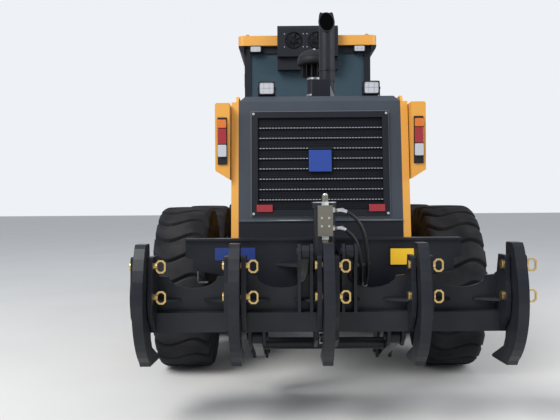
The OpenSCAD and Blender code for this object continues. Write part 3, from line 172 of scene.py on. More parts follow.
def turned(profile, centre, axis="x", sides=32):
    """A surface of revolution: profile rows of radius and distance along the axis, about the centre."""
    rows = np.asarray(profile, float)
    u, v, w = TURNED_COLUMNS[axis]
    cos, sin = circle(sides).T[..., None]
    points = np.zeros((sides, len(rows), 3))
    points[..., u] = cos * rows[:, 0]
    points[..., v] = sin * rows[:, 0]
    points[..., w] = rows[:, 1]
    faces = grid_faces(sides, len(rows), wrap_rows=True)
    if signed_area(rows) > 0:
        faces = faces[:, ::-1]
    return points.reshape(-1, 3) + np.array(centre), faces.tolist()


def band(inner, outer, low, high, centre, axis="z", sides=40):
    """A ring of rectangular section about an axis."""
    profile = [(inner, low), (outer, low), (outer, high), (inner, high), (inner, low)]
    return turned(profile, centre, axis, sides)


def layers(axis, *rows):
    """Points of flat outlines, each at its own place along an axis."""
    u, v, w = FLAT_COLUMNS[axis]
    points = np.zeros((len(rows), len(rows[0][0]), 3))
    for layer, (outline, place) in zip(points, rows):
        layer[:, (u, v)] = outline
        layer[:, w] = place
    return points.reshape(-1, 3)


def prism(outline, axis, low, high):
    """A flat outline of two-column points, from low to high along an axis."""
    n = len(outline)
    faces = grid_faces(2, n, wrap_columns=True).tolist()
    faces += [list(range(n - 1, -1, -1)), list(range(n, 2 * n))]
    if (signed_area(outline) < 0) != (axis == "y"):
        faces = [face[::-1] for face in faces]
    return layers(axis, (outline, low), (outline, high)), faces


def rounded(half_w, half_h, radius, steps=4):
    """A rounded rectangle's outline about the origin."""
    a = np.linspace(0, np.pi / 2, steps + 1)
    corner = np.stack([np.cos(a), np.sin(a)], 1) * radius
    out = []
    for k, (sx, sy) in enumerate(((1, 1), (-1, 1), (-1, -1), (1, -1))):
        c = math.cos(k * math.pi / 2)
        s = math.sin(k * math.pi / 2)
        out.append(corner @ np.array([[c, s], [-s, c]]) + [sx * (half_w - radius), sy * (half_h - radius)])
    return np.concatenate(out)


def ring_frame(outer, inner, axis, low, high):
    """A frame between two outlines of as many points, from low to high along an axis."""
    points = layers(axis, (outer, low), (inner, low), (inner, high), (outer, high))
    return points, grid_faces(4, len(outer), True, True).tolist()


def move(part, offset):
    """The same part, shifted."""
    return np.asarray(part[0]) + np.array(offset), part[1]


def placed(part):
    """A part drawn from the tandem's centre, moved into the part's frame."""
    return move(part, (0, TANDEM_Y, 0))


def on_side(part, side):
    """A part drawn on the machine's right, or its mirror image on the left, with its faces outwards."""
    if side > 0:
        return part
    return np.asarray(part[0]) * [-1, 1, 1], [list(face)[::-1] for face in part[1]]


def outward(piece):
    """Joins doubled points and turns all faces outwards."""
    bm = bmesh.new()
    bm.from_mesh(piece.data)
    bmesh.ops.remove_doubles(bm, verts=bm.verts, dist=1e-5)
    bmesh.ops.recalc_face_normals(bm, faces=bm.faces)
    bm.to_mesh(piece.data)
    bm.free()


def bevel(piece, width, segments=2):
    """A live bevel on the piece's sharp edges."""
    m = piece.modifiers.new("Bevel", "BEVEL")
    m.width = width
    m.segments = segments
    m.limit_method = "ANGLE"
    m.angle_limit = math.radians(40)


# Finishes


class Finish:
    """Builds one Principled material, node by node."""

    def __init__(self, name, color, roughness, metallic=0.0, specular=0.5):
        self.mat = bpy.data.materials.new(name)
        self.mat.use_nodes = True
        self.tree = self.mat.node_tree
        self.shader = self.tree.nodes["Principled BSDF"]
        self.color = (*color[:3], 1)
        self.shader.inputs["Base Color"].default_value = self.color
        self.shader.inputs["Roughness"].default_value = roughness
        self.shader.inputs["Metallic"].default_value = metallic
        self.shader.inputs["Specular IOR Level"].default_value = specular
        self.mat.diffuse_color = self.color

    def node(self, kind, source=None, socket=0):
        """A new node, with a source linked to one of its sockets."""
        n = self.tree.nodes.new(kind)
        if source is not None:
            self.tree.links.new(source, n.inputs[socket])
        return n

    def link(self, a, b):
        self.tree.links.new(a, b)

    def object_coords(self):
        return self.node("ShaderNodeTexCoord").outputs["Object"]

    def noise(self, scale, detail):
        """Noise over the piece's own coordinates."""
        n = self.node("ShaderNodeTexNoise", self.object_coords(), "Vector")
        n.inputs["Scale"].default_value = scale
        n.inputs["Detail"].default_value = detail
        return n.outputs["Fac"]

    def mapped(self, source, low, high, first=0.0, last=1.0):
        """The source, with low to high stretched onto first to last and held there."""
        n = self.node("ShaderNodeMapRange", source, "Value")
        n.inputs["From Min"].default_value = low
        n.inputs["From Max"].default_value = high
        n.inputs["To Min"].default_value = first
        n.inputs["To Max"].default_value = last
        return n.outputs["Result"]

    def times(self, a, b):
        """The product of two sources, or of a source and a number."""
        n = self.node("ShaderNodeMath", a)
        n.operation = "MULTIPLY"
        if isinstance(b, float):
            n.inputs[1].default_value = b
            n.use_clamp = True
        else:
            self.link(b, n.inputs[1])
        return n.outputs[0]

    def mixed(self, share, first, last):
        """The base colour goes from first to last with the share."""
        n = self.node("ShaderNodeMix")
        n.data_type = "RGBA"
        n.inputs["A"].default_value = first
        n.inputs["B"].default_value = last
        self.link(share, n.inputs["Factor"])
        self.link(n.outputs["Result"], self.shader.inputs["Base Color"])
        return self

    def dusty(self, dust, amount, scale=3.0, low_z=0.0, high_z=1.6):
        """Mixes dust into the base colour: a noise, more of it low down and on faces that look up."""
        place = self.node("ShaderNodeSeparateXYZ", self.object_coords())
        fall = self.mapped(place.outputs["Z"], low_z, high_z, 1.0, 0.35)
        normal = self.node("ShaderNodeSeparateXYZ", self.node("ShaderNodeNewGeometry").outputs["Normal"])
        up = self.mapped(normal.outputs["Z"], 0.2, 1.0, 0.5, 1.3)
        spots = self.mapped(self.noise(scale, 8.0), 0.35, 0.75)
        share = self.times(self.times(self.times(spots, fall), up), float(amount))
        return self.mixed(share, self.color, (*dust, 1))

    def grimy_inside(self, grime, split, ease):
        """Mixes a painted shade into the colour where a wheel is nearer than the split to the machine's
        middle.
        """
        place = self.node("ShaderNodeSeparateXYZ", self.object_coords())
        far = self.node("ShaderNodeMath", place.outputs["X"])
        far.operation = "ABSOLUTE"
        return self.mixed(self.mapped(far.outputs[0], split - ease, split + ease), (*grime, 1), self.color)

    def mottled_gloss(self, scale, low, high):
        """Varies the roughness between two values."""
        self.link(self.mapped(self.noise(scale, 3.0), 0.0, 1.0, low, high), self.shader.inputs["Roughness"])
        return self

    def bumped(self, scale, strength, distance=0.002):
        """A fine bump from noise."""
        n = self.node("ShaderNodeBump", self.noise(scale, 6.0), "Height")
        n.inputs["Strength"].default_value = strength
        n.inputs["Distance"].default_value = distance
        self.link(n.outputs["Normal"], self.shader.inputs["Normal"])
        return self


finishes = {}


def make_finishes(p):
    """All the materials, by plain names."""
    dust = tuple(p.dust_color)
    f = finishes
    f["yellow"] = Finish("yellow paint", p.yellow_paint, 0.38).dusty(dust, 0.2, 2.5)
    f["yellow"].mottled_gloss(4, 0.3, 0.5)
    # The rims' inner halves are painted near-black as the shade between tyre and frame
    f["rim"] = Finish("rim paint", p.yellow_paint, 0.42).grimy_inside((0.016, 0.016, 0.017), 1.05, 0.03)
    f["rim"].mottled_gloss(6, 0.35, 0.55)
    f["slate"] = Finish("slate paint", p.slate_paint, 0.3).dusty(dust, 0.1, 2.2).mottled_gloss(5, 0.2, 0.42)
    f["dark"] = Finish("dark frame paint", p.dark_paint, 0.30, specular=0.27).dusty(dust, 0.1, 3.1)
    f["dark"].mottled_gloss(7, 0.22, 0.46).bumped(160, 0.12, 0.0008)
    f["black"] = Finish("black fittings", (0.006, 0.0075, 0.012), 0.5, specular=0.22).dusty(dust, 0.03, 3)
    f["plastic"] = Finish("black plastic", (0.010, 0.010, 0.012), 0.6, specular=0.25)
    f["plastic"].bumped(420, 0.1, 0.0005)
    f["rubber"] = Finish("tyre rubber", (0.010, 0.0105, 0.013), 0.85, specular=0.16)
    f["rubber"].dusty(dust, 0.15, 5.0, 0.0, 1.9).bumped(130, 0.25, 0.0015)
    f["hose"] = Finish("hose rubber", (0.010, 0.010, 0.011), 0.42, specular=0.35).bumped(300, 0.15, 0.0005)
    f["chrome"] = Finish("chromed rod", (0.72, 0.73, 0.75), 0.12, 1.0)
    f["steel"] = Finish("worn steel", (0.36, 0.36, 0.37), 0.38, 1.0).mottled_gloss(40, 0.25, 0.55)
    f["blade"] = Finish("blade face", (0.09, 0.095, 0.1), 0.4).dusty((0.42, 0.42, 0.42), 0.7, 2.0, 0.1, 0.9)
    f["zinc"] = Finish("yellow zinc", (0.72, 0.5, 0.2), 0.3, 1.0).mottled_gloss(60, 0.2, 0.45)
    f["olive"] = Finish("olive zinc", (0.20, 0.185, 0.145), 0.34, 0.7).mottled_gloss(50, 0.25, 0.5)
    f["silver"] = Finish("plated fittings", (0.66, 0.66, 0.66), 0.28, 1.0)
    f["heat"] = Finish("exhaust steel", (0.006, 0.007, 0.011), 0.5, 0.0, 0.3).mottled_gloss(12, 0.4, 0.65)
    # Soot, and painted shade for the exhaust pipe's hollow mouth
    f["soot_and_painted_shade"] = Finish("soot_and_painted_shade", (0.002, 0.002, 0.0022), 1.0, specular=0.0)
    f["blue"] = Finish("blue plate", p.blue_plate, 0.35)
    # The bumper's blue plate is darkened to paint the shade that it lies in
    f["painted_shade_blue"] = Finish("blue plate darkened as painted shade", (0.008, 0.03, 0.17), 0.4)
    f["sun"] = Finish("yellow plate", (0.85, 0.50, 0.02), 0.4)
    f["amber"] = Finish("amber lens", (0.55, 0.13, 0.012), 0.18)
    f["red"] = Finish("red lens", (0.27, 0.008, 0.014), 0.18)
    f["white"] = Finish("clear lens", (0.42, 0.43, 0.46), 0.15)
    f["core"] = Finish("radiator core", (0.008, 0.009, 0.013), 0.7, specular=0.2)
    f["cloth"] = Finish("seat cloth", (0.03, 0.03, 0.035), 0.9).bumped(700, 0.35, 0.0006)
    f["inside"] = Finish("cab trim", (0.05, 0.052, 0.056), 0.7)
    f["seal"] = Finish("seal rubber", (0.10, 0.11, 0.125), 0.5)
    f["mirror"] = Finish("mirror glass", (0.75, 0.78, 0.8), 0.04, 1.0)
    f["tint"] = Finish("door glass", (0.040, 0.066, 0.084), 0.05)
    f["glass"] = Finish("cab glass", p.glass_tint, 0.03)
    f["glass"].shader.inputs["Transmission Weight"].default_value = 0.55
    f["glass"].shader.inputs["IOR"].default_value = 1.12
    for kind in ("amber", "red", "white"):
        f[kind].shader.inputs["Coat Weight"].default_value = 0.6
    for kind in ("yellow", "slate"):
        f[kind].shader.inputs["Coat Weight"].default_value = 0.2
        f[kind].shader.inputs["Coat Roughness"].default_value = 0.15


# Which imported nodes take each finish
NODE_FINISH = {
    "yellow": "hood_side_panels hood_door_left hood_door_right cab_roof front_frame",
    "rim": " ".join("rim_" + name for _, name, _ in WHEELS),
    "slate": "hood_shell",
    "dark": "rear_bumper step_boxes saddle rear_frame rear_axle front_axle lean_yoke_left lean_yoke_right"
            " knuckle_left knuckle_right drawbar circle blade_carrier ripper_lower_link ripper_upper_links"
            " ripper_beam ripper_shanks ripper_cylinder_barrel",
    "blade": "moldboard",
    "black": "grille cab_frame cab_door_left cab_door_right air_conditioner articulation_barrels engine",
    "plastic": "air_precleaner rear_lamps head_lamps cab_console",
    "chrome": "articulation_rod_left articulation_rod_right lift_rods ripper_cylinder_rod lean_bar tie_rod",
    "heat": "exhaust_stack",
    "zinc": "ripper_pins",
    "olive": "ripper_valve",
    "glass": "cab_glass",
    "rubber": " ".join("tyre_" + name for _, name, _ in WHEELS),
    "cloth": "seat",
    "hose": "ripper_hoses",
}


def paint_nodes():
    """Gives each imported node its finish."""
    for kind, names in NODE_FINISH.items():
        for name in names.split():
            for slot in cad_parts[name].material_slots:
                slot.link = "OBJECT"
                slot.material = finishes[kind].mat


# Camera and hoses


def make_camera(p):
    """The photograph's viewpoint: behind the ripper, a little left of the middle."""
    data = bpy.data.cameras.new("camera")
    data.lens = p.lens
    data.sensor_width = 36
    data.clip_end = 200
    camera = linked("camera", data)
    camera.location = p.place
    camera.rotation_euler = (math.radians(90) + p.pitch, p.roll, p.yaw)
    bpy.context.scene.camera = camera


# Hose routes from the valve block's ports to the bumper, in millimetres: Y is from the tandem's centre
HOSE_ROUTES = {
    "upper": [(78.3, -2262, 1330), (112, -2262, 1330), (170, -2262, 1302), (222, -2258, 1245),
              (255, -2247, 1165), (270, -2228, 1070), (276, -2198, 975), (278, -2150, 895),
              (278, -2090, 845), (278, -2035, 828), (278, -1991, 826)],
    "lower": [(78.3, -2262, 1215), (108, -2262, 1215), (152, -2262, 1188), (194, -2257, 1138),
              (220, -2245, 1065), (234, -2222, 980), (238, -2185, 900), (238, -2138, 835),
              (238, -2085, 792), (238, -2035, 777), (238, -1991, 775)],
}
HOSE_D = 0.024
# Points of a hose's path, and how many of them lie in a crimp
HOSE_STEPS = 60
CRIMP_STEPS = 6


def smooth_path(points, count):
    """Evenly spread points on the Catmull-Rom curve through the given ones, and the curve's length."""
    p = np.asarray(points, float)
    p = np.concatenate([[2 * p[0] - p[1]], p, [2 * p[-1] - p[-2]]])
    u = np.linspace(0, len(p) - 3 - 1e-9, count * 8)
    k = u.astype(int)
    t = (u - k)[:, None]
    a, b, c, d = p[k], p[k + 1], p[k + 2], p[k + 3]
    square = (2 * a - 5 * b + 4 * c - d) * t ** 2
    cube = (3 * b - a - 3 * c + d) * t ** 3
    curve = 0.5 * (2 * b + (c - a) * t + square + cube)
    run = np.concatenate([[0], np.cumsum(np.linalg.norm(np.diff(curve, axis=0), axis=1))])
    even = np.linspace(0, run[-1], count)
    return np.stack([np.interp(even, run, curve[:, i]) for i in range(3)], 1), run[-1]


def make_hoses():
    """Two black hoses with plated ends, from the valve block down to the bumper.
    Each hangs in a fixed curve from the port, whose crimp rides on the swinging cylinder, down to the
    bumper."""
    for name, route in HOSE_ROUTES.items():
        path, length = smooth_path(np.array(route) / 1000 + [0, TANDEM_Y, 0], HOSE_STEPS)
        hose = make_piece("ripper_hose_" + name, tube(path, HOSE_D / 2, 14), "hose", None, True)
        for end, body, run in (("port", "ripper_barrel", path[:CRIMP_STEPS]),
                               ("foot", "root", path[-CRIMP_STEPS:])):
            crimp = join([tube(run, 0.0148, 16), tube(run[2:4], 0.0172, 6)])
            make_piece("hose_crimp_%s_%s" % (name, end), crimp, "silver", body)
        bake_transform(hose)
        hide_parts("ripper_hoses")


# Wheels

BEAD_RADIUS = 0.3178
# Half the width between the beads, and how far the tread falls to its edge and at the shoulder
BEAD_HALF = 0.172
CROWN_FALL = 0.006
SHOULDER_FALL = 0.018
# Points across the tread and up a side wall
TREAD_COLUMNS = 45
WALL_ROWS = 16


def lug_relief(turn, w, p):
    """Depth of the S-shaped grooves at an angle round the tyre and a place across it, from -1 to 1.
    A groove's middle lies at 11.28 w^3 - 8.68 w degrees, one to a pitch, and it opens out to the shoulders.
    Its section is a flat bottom between two steep walls with a small round at the top."""
    pitch = 360.0 / p.lug_count
    middle = 11.28 * w ** 3 - 8.68 * w - 4.4
    away = np.abs((np.degrees(turn) - middle + pitch / 2) % pitch - pitch / 2)
    half = 1.35 + 0.85 * np.abs(w) ** 1.5
    valley = np.clip((half - away) / (0.42 * half), 0, 1)
    return p.lug_depth * valley * valley * (3 - 2 * valley)


def tyre_surface(p, side, y):
    """The tyre as a closed ring: theta goes round the axle and the columns round its section.
    Over the tread the radius is the crown less the grooves. The walls swell between bead and shoulder."""
    half = p.tyre_width / 2
    tread = np.linspace(-1, 1, TREAD_COLUMNS)
    edge = np.clip((np.abs(tread) - 0.8) / 0.2, 0, 1)
    tread_w = tread * (half - 0.0185 + 0.004 * edge)
    crown = p.tyre_radius - CROWN_FALL * np.abs(tread) ** 2.5 - SHOULDER_FALL * edge ** 2.2
    wall_s = np.linspace(0, 1, WALL_ROWS + 2)[1:-1]
    wall_r = crown[-1] + (BEAD_RADIUS + 0.012 - crown[-1]) * wall_s
    shoulder_w = half - 0.0145
    swell = 0.0125 * np.sin(np.pi * np.clip(wall_s * 1.15, 0, 1))
    wall_w = shoulder_w + swell - (shoulder_w - BEAD_HALF) * wall_s ** 4
    inner_r = BEAD_RADIUS + np.array([0.0006, 0.0005, 0.0006])
    inner_w = np.array([0.163, 0.0, -0.163])
    flat = np.zeros(TREAD_COLUMNS)
    wall = np.ones(WALL_ROWS)
    hidden = np.zeros(3)
    # Of each stretch: radius, place across, that as a share, whether it is wall, and the way down the wall
    stretches = ((crown, tread_w, tread, flat, flat),
                 (wall_r, wall_w, wall, wall, wall_s),
                 (inner_r, inner_w, hidden, hidden, hidden + 1),
                 (wall_r[::-1], -wall_w[::-1], -wall, wall, wall_s[::-1]))
    radius, width, share, on_wall, depth_s = [np.concatenate(column) for column in zip(*stretches)]
    theta = np.linspace(0, 2 * np.pi, p.tyre_steps, endpoint=False)
    turn = theta + np.pi / 2 if side > 0 else 1.5 * np.pi - theta
    relief = lug_relief(turn[:, None], share[None, :], p)
    # On the side wall the groove runs on as a notch that dies out towards the bead
    fade = np.where(on_wall > 0, np.clip(1 - depth_s * 3.4, 0, 1), np.where(depth_s > 0.99, 0, 1))
    ridge = 0.0032 * np.sin(np.clip((depth_s - 0.45) / 0.32, 0, 1) * 2 * np.pi) ** 2
    r = radius - relief * np.where(on_wall > 0, 0, fade)
    across = width - np.sign(width) * (relief * on_wall * fade * 0.55 + ridge * on_wall)
    verts = np.stack([side * (WHEEL_X + across), np.cos(theta)[:, None] * r + y + TANDEM_Y,
                      np.sin(theta)[:, None] * r + AXLE_Z], -1)
    faces = grid_faces(len(theta), len(radius), True, True)
    if side > 0:
        faces = faces[:, ::-1]
    return verts.reshape(-1, 3), faces.tolist()


def make_tyres(p):
    """Six tyres with directional lugs."""
    for side, name, y in WHEELS:
        piece = make_piece("tread_" + name, tyre_surface(p, side, y), "rubber", "wheel_" + name, True)
        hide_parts("tyre_" + name)


# From the wheel's middle: where a nut and its stud begin and end, their radius and sides
NUT_AND_STUD = ((0.046, 0.074, 0.0165, 6), (0.070, 0.090, 0.009, 8))


def make_wheel_nuts():
    """Twelve studs with hexagon nuts on each hub."""
    for side, name, y in WHEELS:
        parts = []
        for along, up in circle(12, 0.212):
            for low, high, radius, sides in NUT_AND_STUD:
                ends = sorted((side * (WHEEL_X + low), side * (WHEEL_X + high)))
                parts.append(pin((y + along, AXLE_Z + up), *ends, radius, sides, "x"))
        make_piece("wheel_nuts_" + name, placed(join(parts)), "steel", "wheel_" + name)


# Rear face

GRILLE_MID = 1.665
GRILLE_LEAN = math.radians(7)
GRILLE_SLATS = 9
# Half the width and height of the grille's window
WINDOW = (0.455, 0.34)
HOOD_REAR = 1.719
HOOD_LOW = 1.120
BUMPER_Y = -1.990


def rear_face(part):
    """Places a part drawn about the grille's centre, -Y outwards and +Z up the lean."""
    verts = np.asarray(part[0], float)
    c = math.cos(-GRILLE_LEAN)
    s = math.sin(-GRILLE_LEAN)
    y = verts[:, 1] * c - verts[:, 2] * s
    z = verts[:, 1] * s + verts[:, 2] * c
    base_y = -HOOD_REAR + (GRILLE_MID - HOOD_LOW) * math.tan(GRILLE_LEAN) + TANDEM_Y
    return np.stack([verts[:, 0], y + base_y, z + GRILLE_MID], 1), part[1]


def make_grille_mesh(p):
    """A screen of wires in the grille's window, dashes along its slats, bolts, and the core behind."""
    w, h = WINDOW
    wires = []
    for x in np.arange(-w, w + 1e-6, p.mesh_pitch):
        wires.append(box((x - 0.0012, 0.0085, -h), (x + 0.0012, 0.0115, h)))
    for z in np.arange(-h, h + 1e-6, p.mesh_pitch):
        wires.append(box((-w, 0.0075, z - 0.0012), (w, 0.0105, z + 0.0012)))
    make_piece("grille_mesh", rear_face(join(wires)), "black")
    dashes = []
    for i in range(1, GRILLE_SLATS):
        z = -h + i * 2 * h / GRILLE_SLATS
        for x in np.arange(-0.44, 0.4401, 0.0225):
            behind_plate = abs(x) < 0.098 and abs(z - 0.018) < 0.1
            if not behind_plate:
                dashes.append(box((x, -0.0052, z - 0.0024), (x + 0.0135, -0.0035, z + 0.0024)))
    make_piece("grille_slat_dashes", rear_face(join(dashes)), "silver")
    bolts = []
    for x in (-0.485, 0.485):
        for z in (-0.368, 0.368):
            bolts.append(pin((x, z), -0.018, -0.0115, 0.0095, 16, "y"))
            bolts.append(pin((x, z), -0.022, -0.0175, 0.006, 6, "y"))
    make_piece("grille_bolts", rear_face(join(bolts)), "silver")
    make_piece("radiator_core", rear_face(box((-0.452, 0.0155, -0.336), (0.452, 0.0285, 0.336))), "core")


def make_plates():
    """Blank plates on the grille and the bumper, and the red reflectors."""
    plate = prism(rounded(0.082, 0.080, 0.006), "y", -0.019, -0.0045)
    bevel(make_piece("grille_plate", rear_face(move(plate, (0, 0, 0.018))), "blue"), 0.002)
    for side, label in LABELS.items():
        red = prism(rounded(0.058, 0.027, 0.006), "y", -0.021, -0.012)
        red = rear_face(move(red, (side * 0.405, 0, -0.329)))
        bevel(make_piece("grille_reflector_" + label, red, "red"), 0.003)
    # The left plate's blue is darkened as painted shade
    for label, kind, left, right, low, high in (("left", "painted_shade_blue", -0.738, -0.463, 0.992, 1.078),
                                                ("right", "sun", 0.455, 0.685, 0.955, 1.070)):
        outline = [(left, low), (right, low), (right, high), (left, high)]
        make_piece("bumper_plate_" + label, placed(prism(outline, "y", BUMPER_Y - 0.004, BUMPER_Y)), kind)
    border = [box((left, BUMPER_Y - 0.0055, low), (right, BUMPER_Y, high)) for left, right, low, high in
              ((0.450, 0.690, 0.950, 0.957), (0.450, 0.690, 1.068, 1.075),
               (0.450, 0.457, 0.950, 1.075), (0.683, 0.690, 0.950, 1.075))]
    make_piece("bumper_plate_border", placed(join(border)), "black")


LENSES = [("amber", 1.922, 1.982), ("red", 1.806, 1.917), ("white", 1.714, 1.801)]


def make_tail_lamps():
    """Amber, red and clear lenses on each ear."""
    for side, label in LABELS.items():
        for kind, low, high in LENSES:
            lens = prism(rounded(0.031, (high - low) / 2, 0.008), "y", -1.728, -1.7115)
            lens = move(lens, (side * 0.7075, 0, (low + high) / 2))
            bevel(make_piece("tail_lens_%s_%s" % (kind, label), placed(lens), kind), 0.004)


def make_bracket():
    """The small angle bracket under the bumper's left side."""
    parts = [box((-0.859, BUMPER_Y, 0.838), (-0.853, BUMPER_Y + 0.05, 0.930)),
             box((-0.859, BUMPER_Y, 0.838), (-0.790, BUMPER_Y + 0.05, 0.844))]
    make_piece("bumper_bracket", placed(join(parts)), "steel")


def make_skirt():
    """A dark sheet painted as the shade under the hood's rear surround, its rounded lip, and the seal round
    the grille.
    """
    # A flat near-black sheet stands in for the shade under the hood's surround
    make_piece("hood_painted_shade", rear_face(box((-0.590, -0.003, -0.546), (0.590, 0.002, -0.425))), "core")
    lip = tube([(-0.590, -0.001, -0.418), (0.590, -0.001, -0.418)], 0.0105, 16)
    make_piece("hood_lip", rear_face(lip), "slate", "root", True)
    seal = ring_frame(rounded(0.5055, 0.3905, 0.006), rounded(0.5005, 0.3855, 0.004), "y", -0.005, 0.001)
    outward(make_piece("grille_seal", rear_face(seal), "seal"))


# Work lamps: name, body, the lens's centre, half its width and height, and the way that it looks along Y
WORK_LAMPS = [("hood_lamp", "root", (0.390, -1.535, 2.234), (0.053, 0.042), -1),
              ("roof_lamp", "root", (0.580, 1.088, 3.089), (0.057, 0.030), -1),
              ("head_lamp", "front_half", (0.275, 6.540, 1.685), (0.062, 0.044), 1)]
# How far the lens, its ribs and its bezel stand out
LAMP_DEPTHS = (0.004, 0.0052, 0.009)


def make_work_lamps():
    """A ribbed lens in a rounded bezel on each of the hood's, the roof's and the front lamps, and the hood
    lamps' feet."""
    for place, body, (lamp_x, y, z), (half_w, half_h), out in WORK_LAMPS:
        lens_y, rib_y, bezel_y = [sorted((y, y + out * depth)) for depth in LAMP_DEPTHS]
        window = rounded(half_w, half_h, 0.012)
        outer = rounded(half_w + 0.008, half_h + 0.007, 0.018)
        run_w = half_w - 0.006
        run_h = half_h - 0.006
        for side, label in LABELS.items():
            name = "%s_%s" % (place, label)
            x = side * lamp_x
            lens = move(prism(window, "y", *lens_y), (x, 0, z))
            bevel(make_piece(name + "_lens", placed(lens), "white", body), 0.0015)
            ribs = [box((across - 0.001, rib_y[0], z - run_h), (across + 0.001, rib_y[1], z + run_h))
                    for across in (x - 0.396 * half_w, x + 0.396 * half_w)]
            ribs.append(box((x - run_w, rib_y[0], z - 0.001), (x + run_w, rib_y[1], z + 0.001)))
            make_piece(name + "_ribs", placed(join(ribs)), "steel", body)
            bezel = move(ring_frame(outer, window, "y", *bezel_y), (x, 0, z))
            outward(make_piece(name + "_bezel", placed(bezel), "plastic", body))
    feet = []
    for x in (-0.390, 0.390):
        feet.append(box((x - 0.048, -1.530, 2.1715), (x + 0.048, -1.470, 2.1765)))
        for arm in (x - 0.064, x + 0.064):
            feet.append(box((arm - 0.002, -1.520, 2.172), (arm + 0.002, -1.490, 2.245)))
            feet.append(pin((-1.505, 2.234), arm - 0.006, arm + 0.006, 0.008, 6, "x"))
        feet.append(box((x - 0.066, -1.520, 2.1715), (x + 0.066, -1.490, 2.1755)))
    make_piece("hood_lamp_feet", placed(join(feet)), "black")


# Roof, stack and ripper fittings

# The air conditioner's fans: where each stands across the machine, their height and their face
FAN_PLACES = {"left": -0.153, "right": 0.096}
FAN_Z = 3.160
FAN_Y = 0.990


def make_fans():
    """Two round fans with wire guards on the back of the air conditioner."""
    y = FAN_Y + TANDEM_Y
    for label, x in FAN_PLACES.items():
        guard = []
        for radius in np.linspace(0.02, 0.088, 8):
            ring = circle(40, radius)
            path = np.stack([x + ring[:, 0], np.full(40, y - 0.004), FAN_Z + ring[:, 1]], 1)
            guard.append(tube(path, 0.0014, 5, closed=True))
        for c, s in circle(8, 0.09)[:4]:
            guard.append(tube([(x - c, y - 0.003, FAN_Z - s), (x + c, y - 0.003, FAN_Z + s)], 0.0016, 6))
        make_piece("fan_guard_" + label, join(guard), "black")
        hub = [(0.0, 0.004), (0.026, 0.004), (0.028, 0.02), (0.028, 0.034), (0.0, 0.034)]
        blades = [turned(hub, (x, y, FAN_Z), "y", 24)]
        u, v = np.meshgrid(np.linspace(0, 1, 6), np.linspace(-0.5, 0.5, 5), indexing="ij")
        for k in range(7):
            turn = k * 2 * math.pi / 7 + v * 0.55 * (1 + u)
            radius = 0.026 + u * 0.058
            points = [x + radius * np.cos(turn), y + 0.018 + v * 0.02, FAN_Z + radius * np.sin(turn)]
            blades.append((np.stack(points, -1).reshape(-1, 3), grid_faces(6, 5).tolist()))
        fan = make_piece("fan_" + label, join(blades), "plastic", "root", True)
        fan.modifiers.new("Solidify", "SOLIDIFY").thickness = 0.0015


# The exhaust pipe's axis, the height where its slanted cut crosses it, and the mouth's way down the slant
PIPE = (0.080, -1.169)
CUT_Z = 2.838
MOUTH_DOWN = 0.0335


def make_stack():
    """The exhaust's mouth, clamps, and the box and gusset at its foot.
    The mouth is an ellipse on the slanted cut: centre + a cos t across + b sin t up the slant."""
    x, y = PIPE
    slant = np.array([0.0, 0.5, 0.8660])
    normal = np.array([0.0, -0.8660, 0.5])
    count = 72

    def mouth(half_w, half_l, out):
        across, along = circle(count).T
        up = half_l * along - MOUTH_DOWN - 0.6 * out
        middle = np.array([x, y, CUT_Z]) + out * normal
        return middle + half_w * across[:, None] * [1, 0, 0] + up[:, None] * slant

    lip = tube(mouth(0.0600, 0.0985, 0.0), 0.0055, 8, closed=True)
    make_piece("exhaust_lip", placed(lip), "heat", "root", True)
    rims = np.concatenate([mouth(0.0590, 0.0975, 0.0035), mouth(0.0590, 0.0975, 0.0005)])
    faces = grid_faces(2, count, wrap_columns=True).tolist()
    faces += [list(range(count - 1, -1, -1)), list(range(count, 2 * count))]
    # A flat near-black disc on the cut: soot, and painted shade for the pipe's hollow
    outward(make_piece("exhaust_mouth", placed((rims, faces)), "soot_and_painted_shade"))
    clamps = []
    for z in (2.345, 2.43):
        clamps.append(band(0.0612, 0.0655, -0.009, 0.009, (x, y, z)))
        clamps.append(box((x - 0.008, y - 0.082, z - 0.008), (x + 0.008, y - 0.06, z + 0.008)))
    make_piece("exhaust_clamps", placed(join(clamps)), "heat")
    foot = box((-0.045, -1.325, 2.1715), (0.098, -1.236, 2.335))
    bevel(make_piece("exhaust_foot", placed(foot), "black"), 0.004)
    gusset = prism([(0.100, 2.1715), (0.150, 2.1715), (0.100, 2.305)], "y", -1.252, -1.246)
    make_piece("exhaust_gusset", placed(gusset), "steel")


PRECLEANER_Y = -0.700


def make_precleaner():
    """Fins between the precleaner's neck and brim, its bands, its rim and the nut on its dome."""
    verts, faces = box((0.0615, -0.0025, 2.455), (0.112, 0.0025, 2.559))
    fins = []
    for c, s in circle(14):
        turn = np.array([[c, s, 0], [-s, c, 0], [0, 0, 1]])
        fins.append((verts @ turn + [0, PRECLEANER_Y, 0], faces))
    make_piece("precleaner_fins", placed(join(fins)), "plastic")
    bands = [band(0.0622, 0.0655, -0.008, 0.008, (0, PRECLEANER_Y, z)) for z in (2.30, 2.44)]
    bands.append(pin((0, PRECLEANER_Y), 2.688, 2.702, 0.011, 6, "z"))
    make_piece("precleaner_bands", placed(join(bands)), "steel")
    rim = [(0.1402, -0.030), (0.1445, -0.027), (0.1445, 0.020), (0.1402, 0.024), (0.1402, -0.030)]
    rim = turned(rim, (0, PRECLEANER_Y, 2.592), "z", 48)
    make_piece("precleaner_rim", placed(rim), "plastic", "root", True)


# The ripper cylinder's axis and the valve block's, behind it
CYLINDER_Y = -2.150
VALVE_Y = -2.262


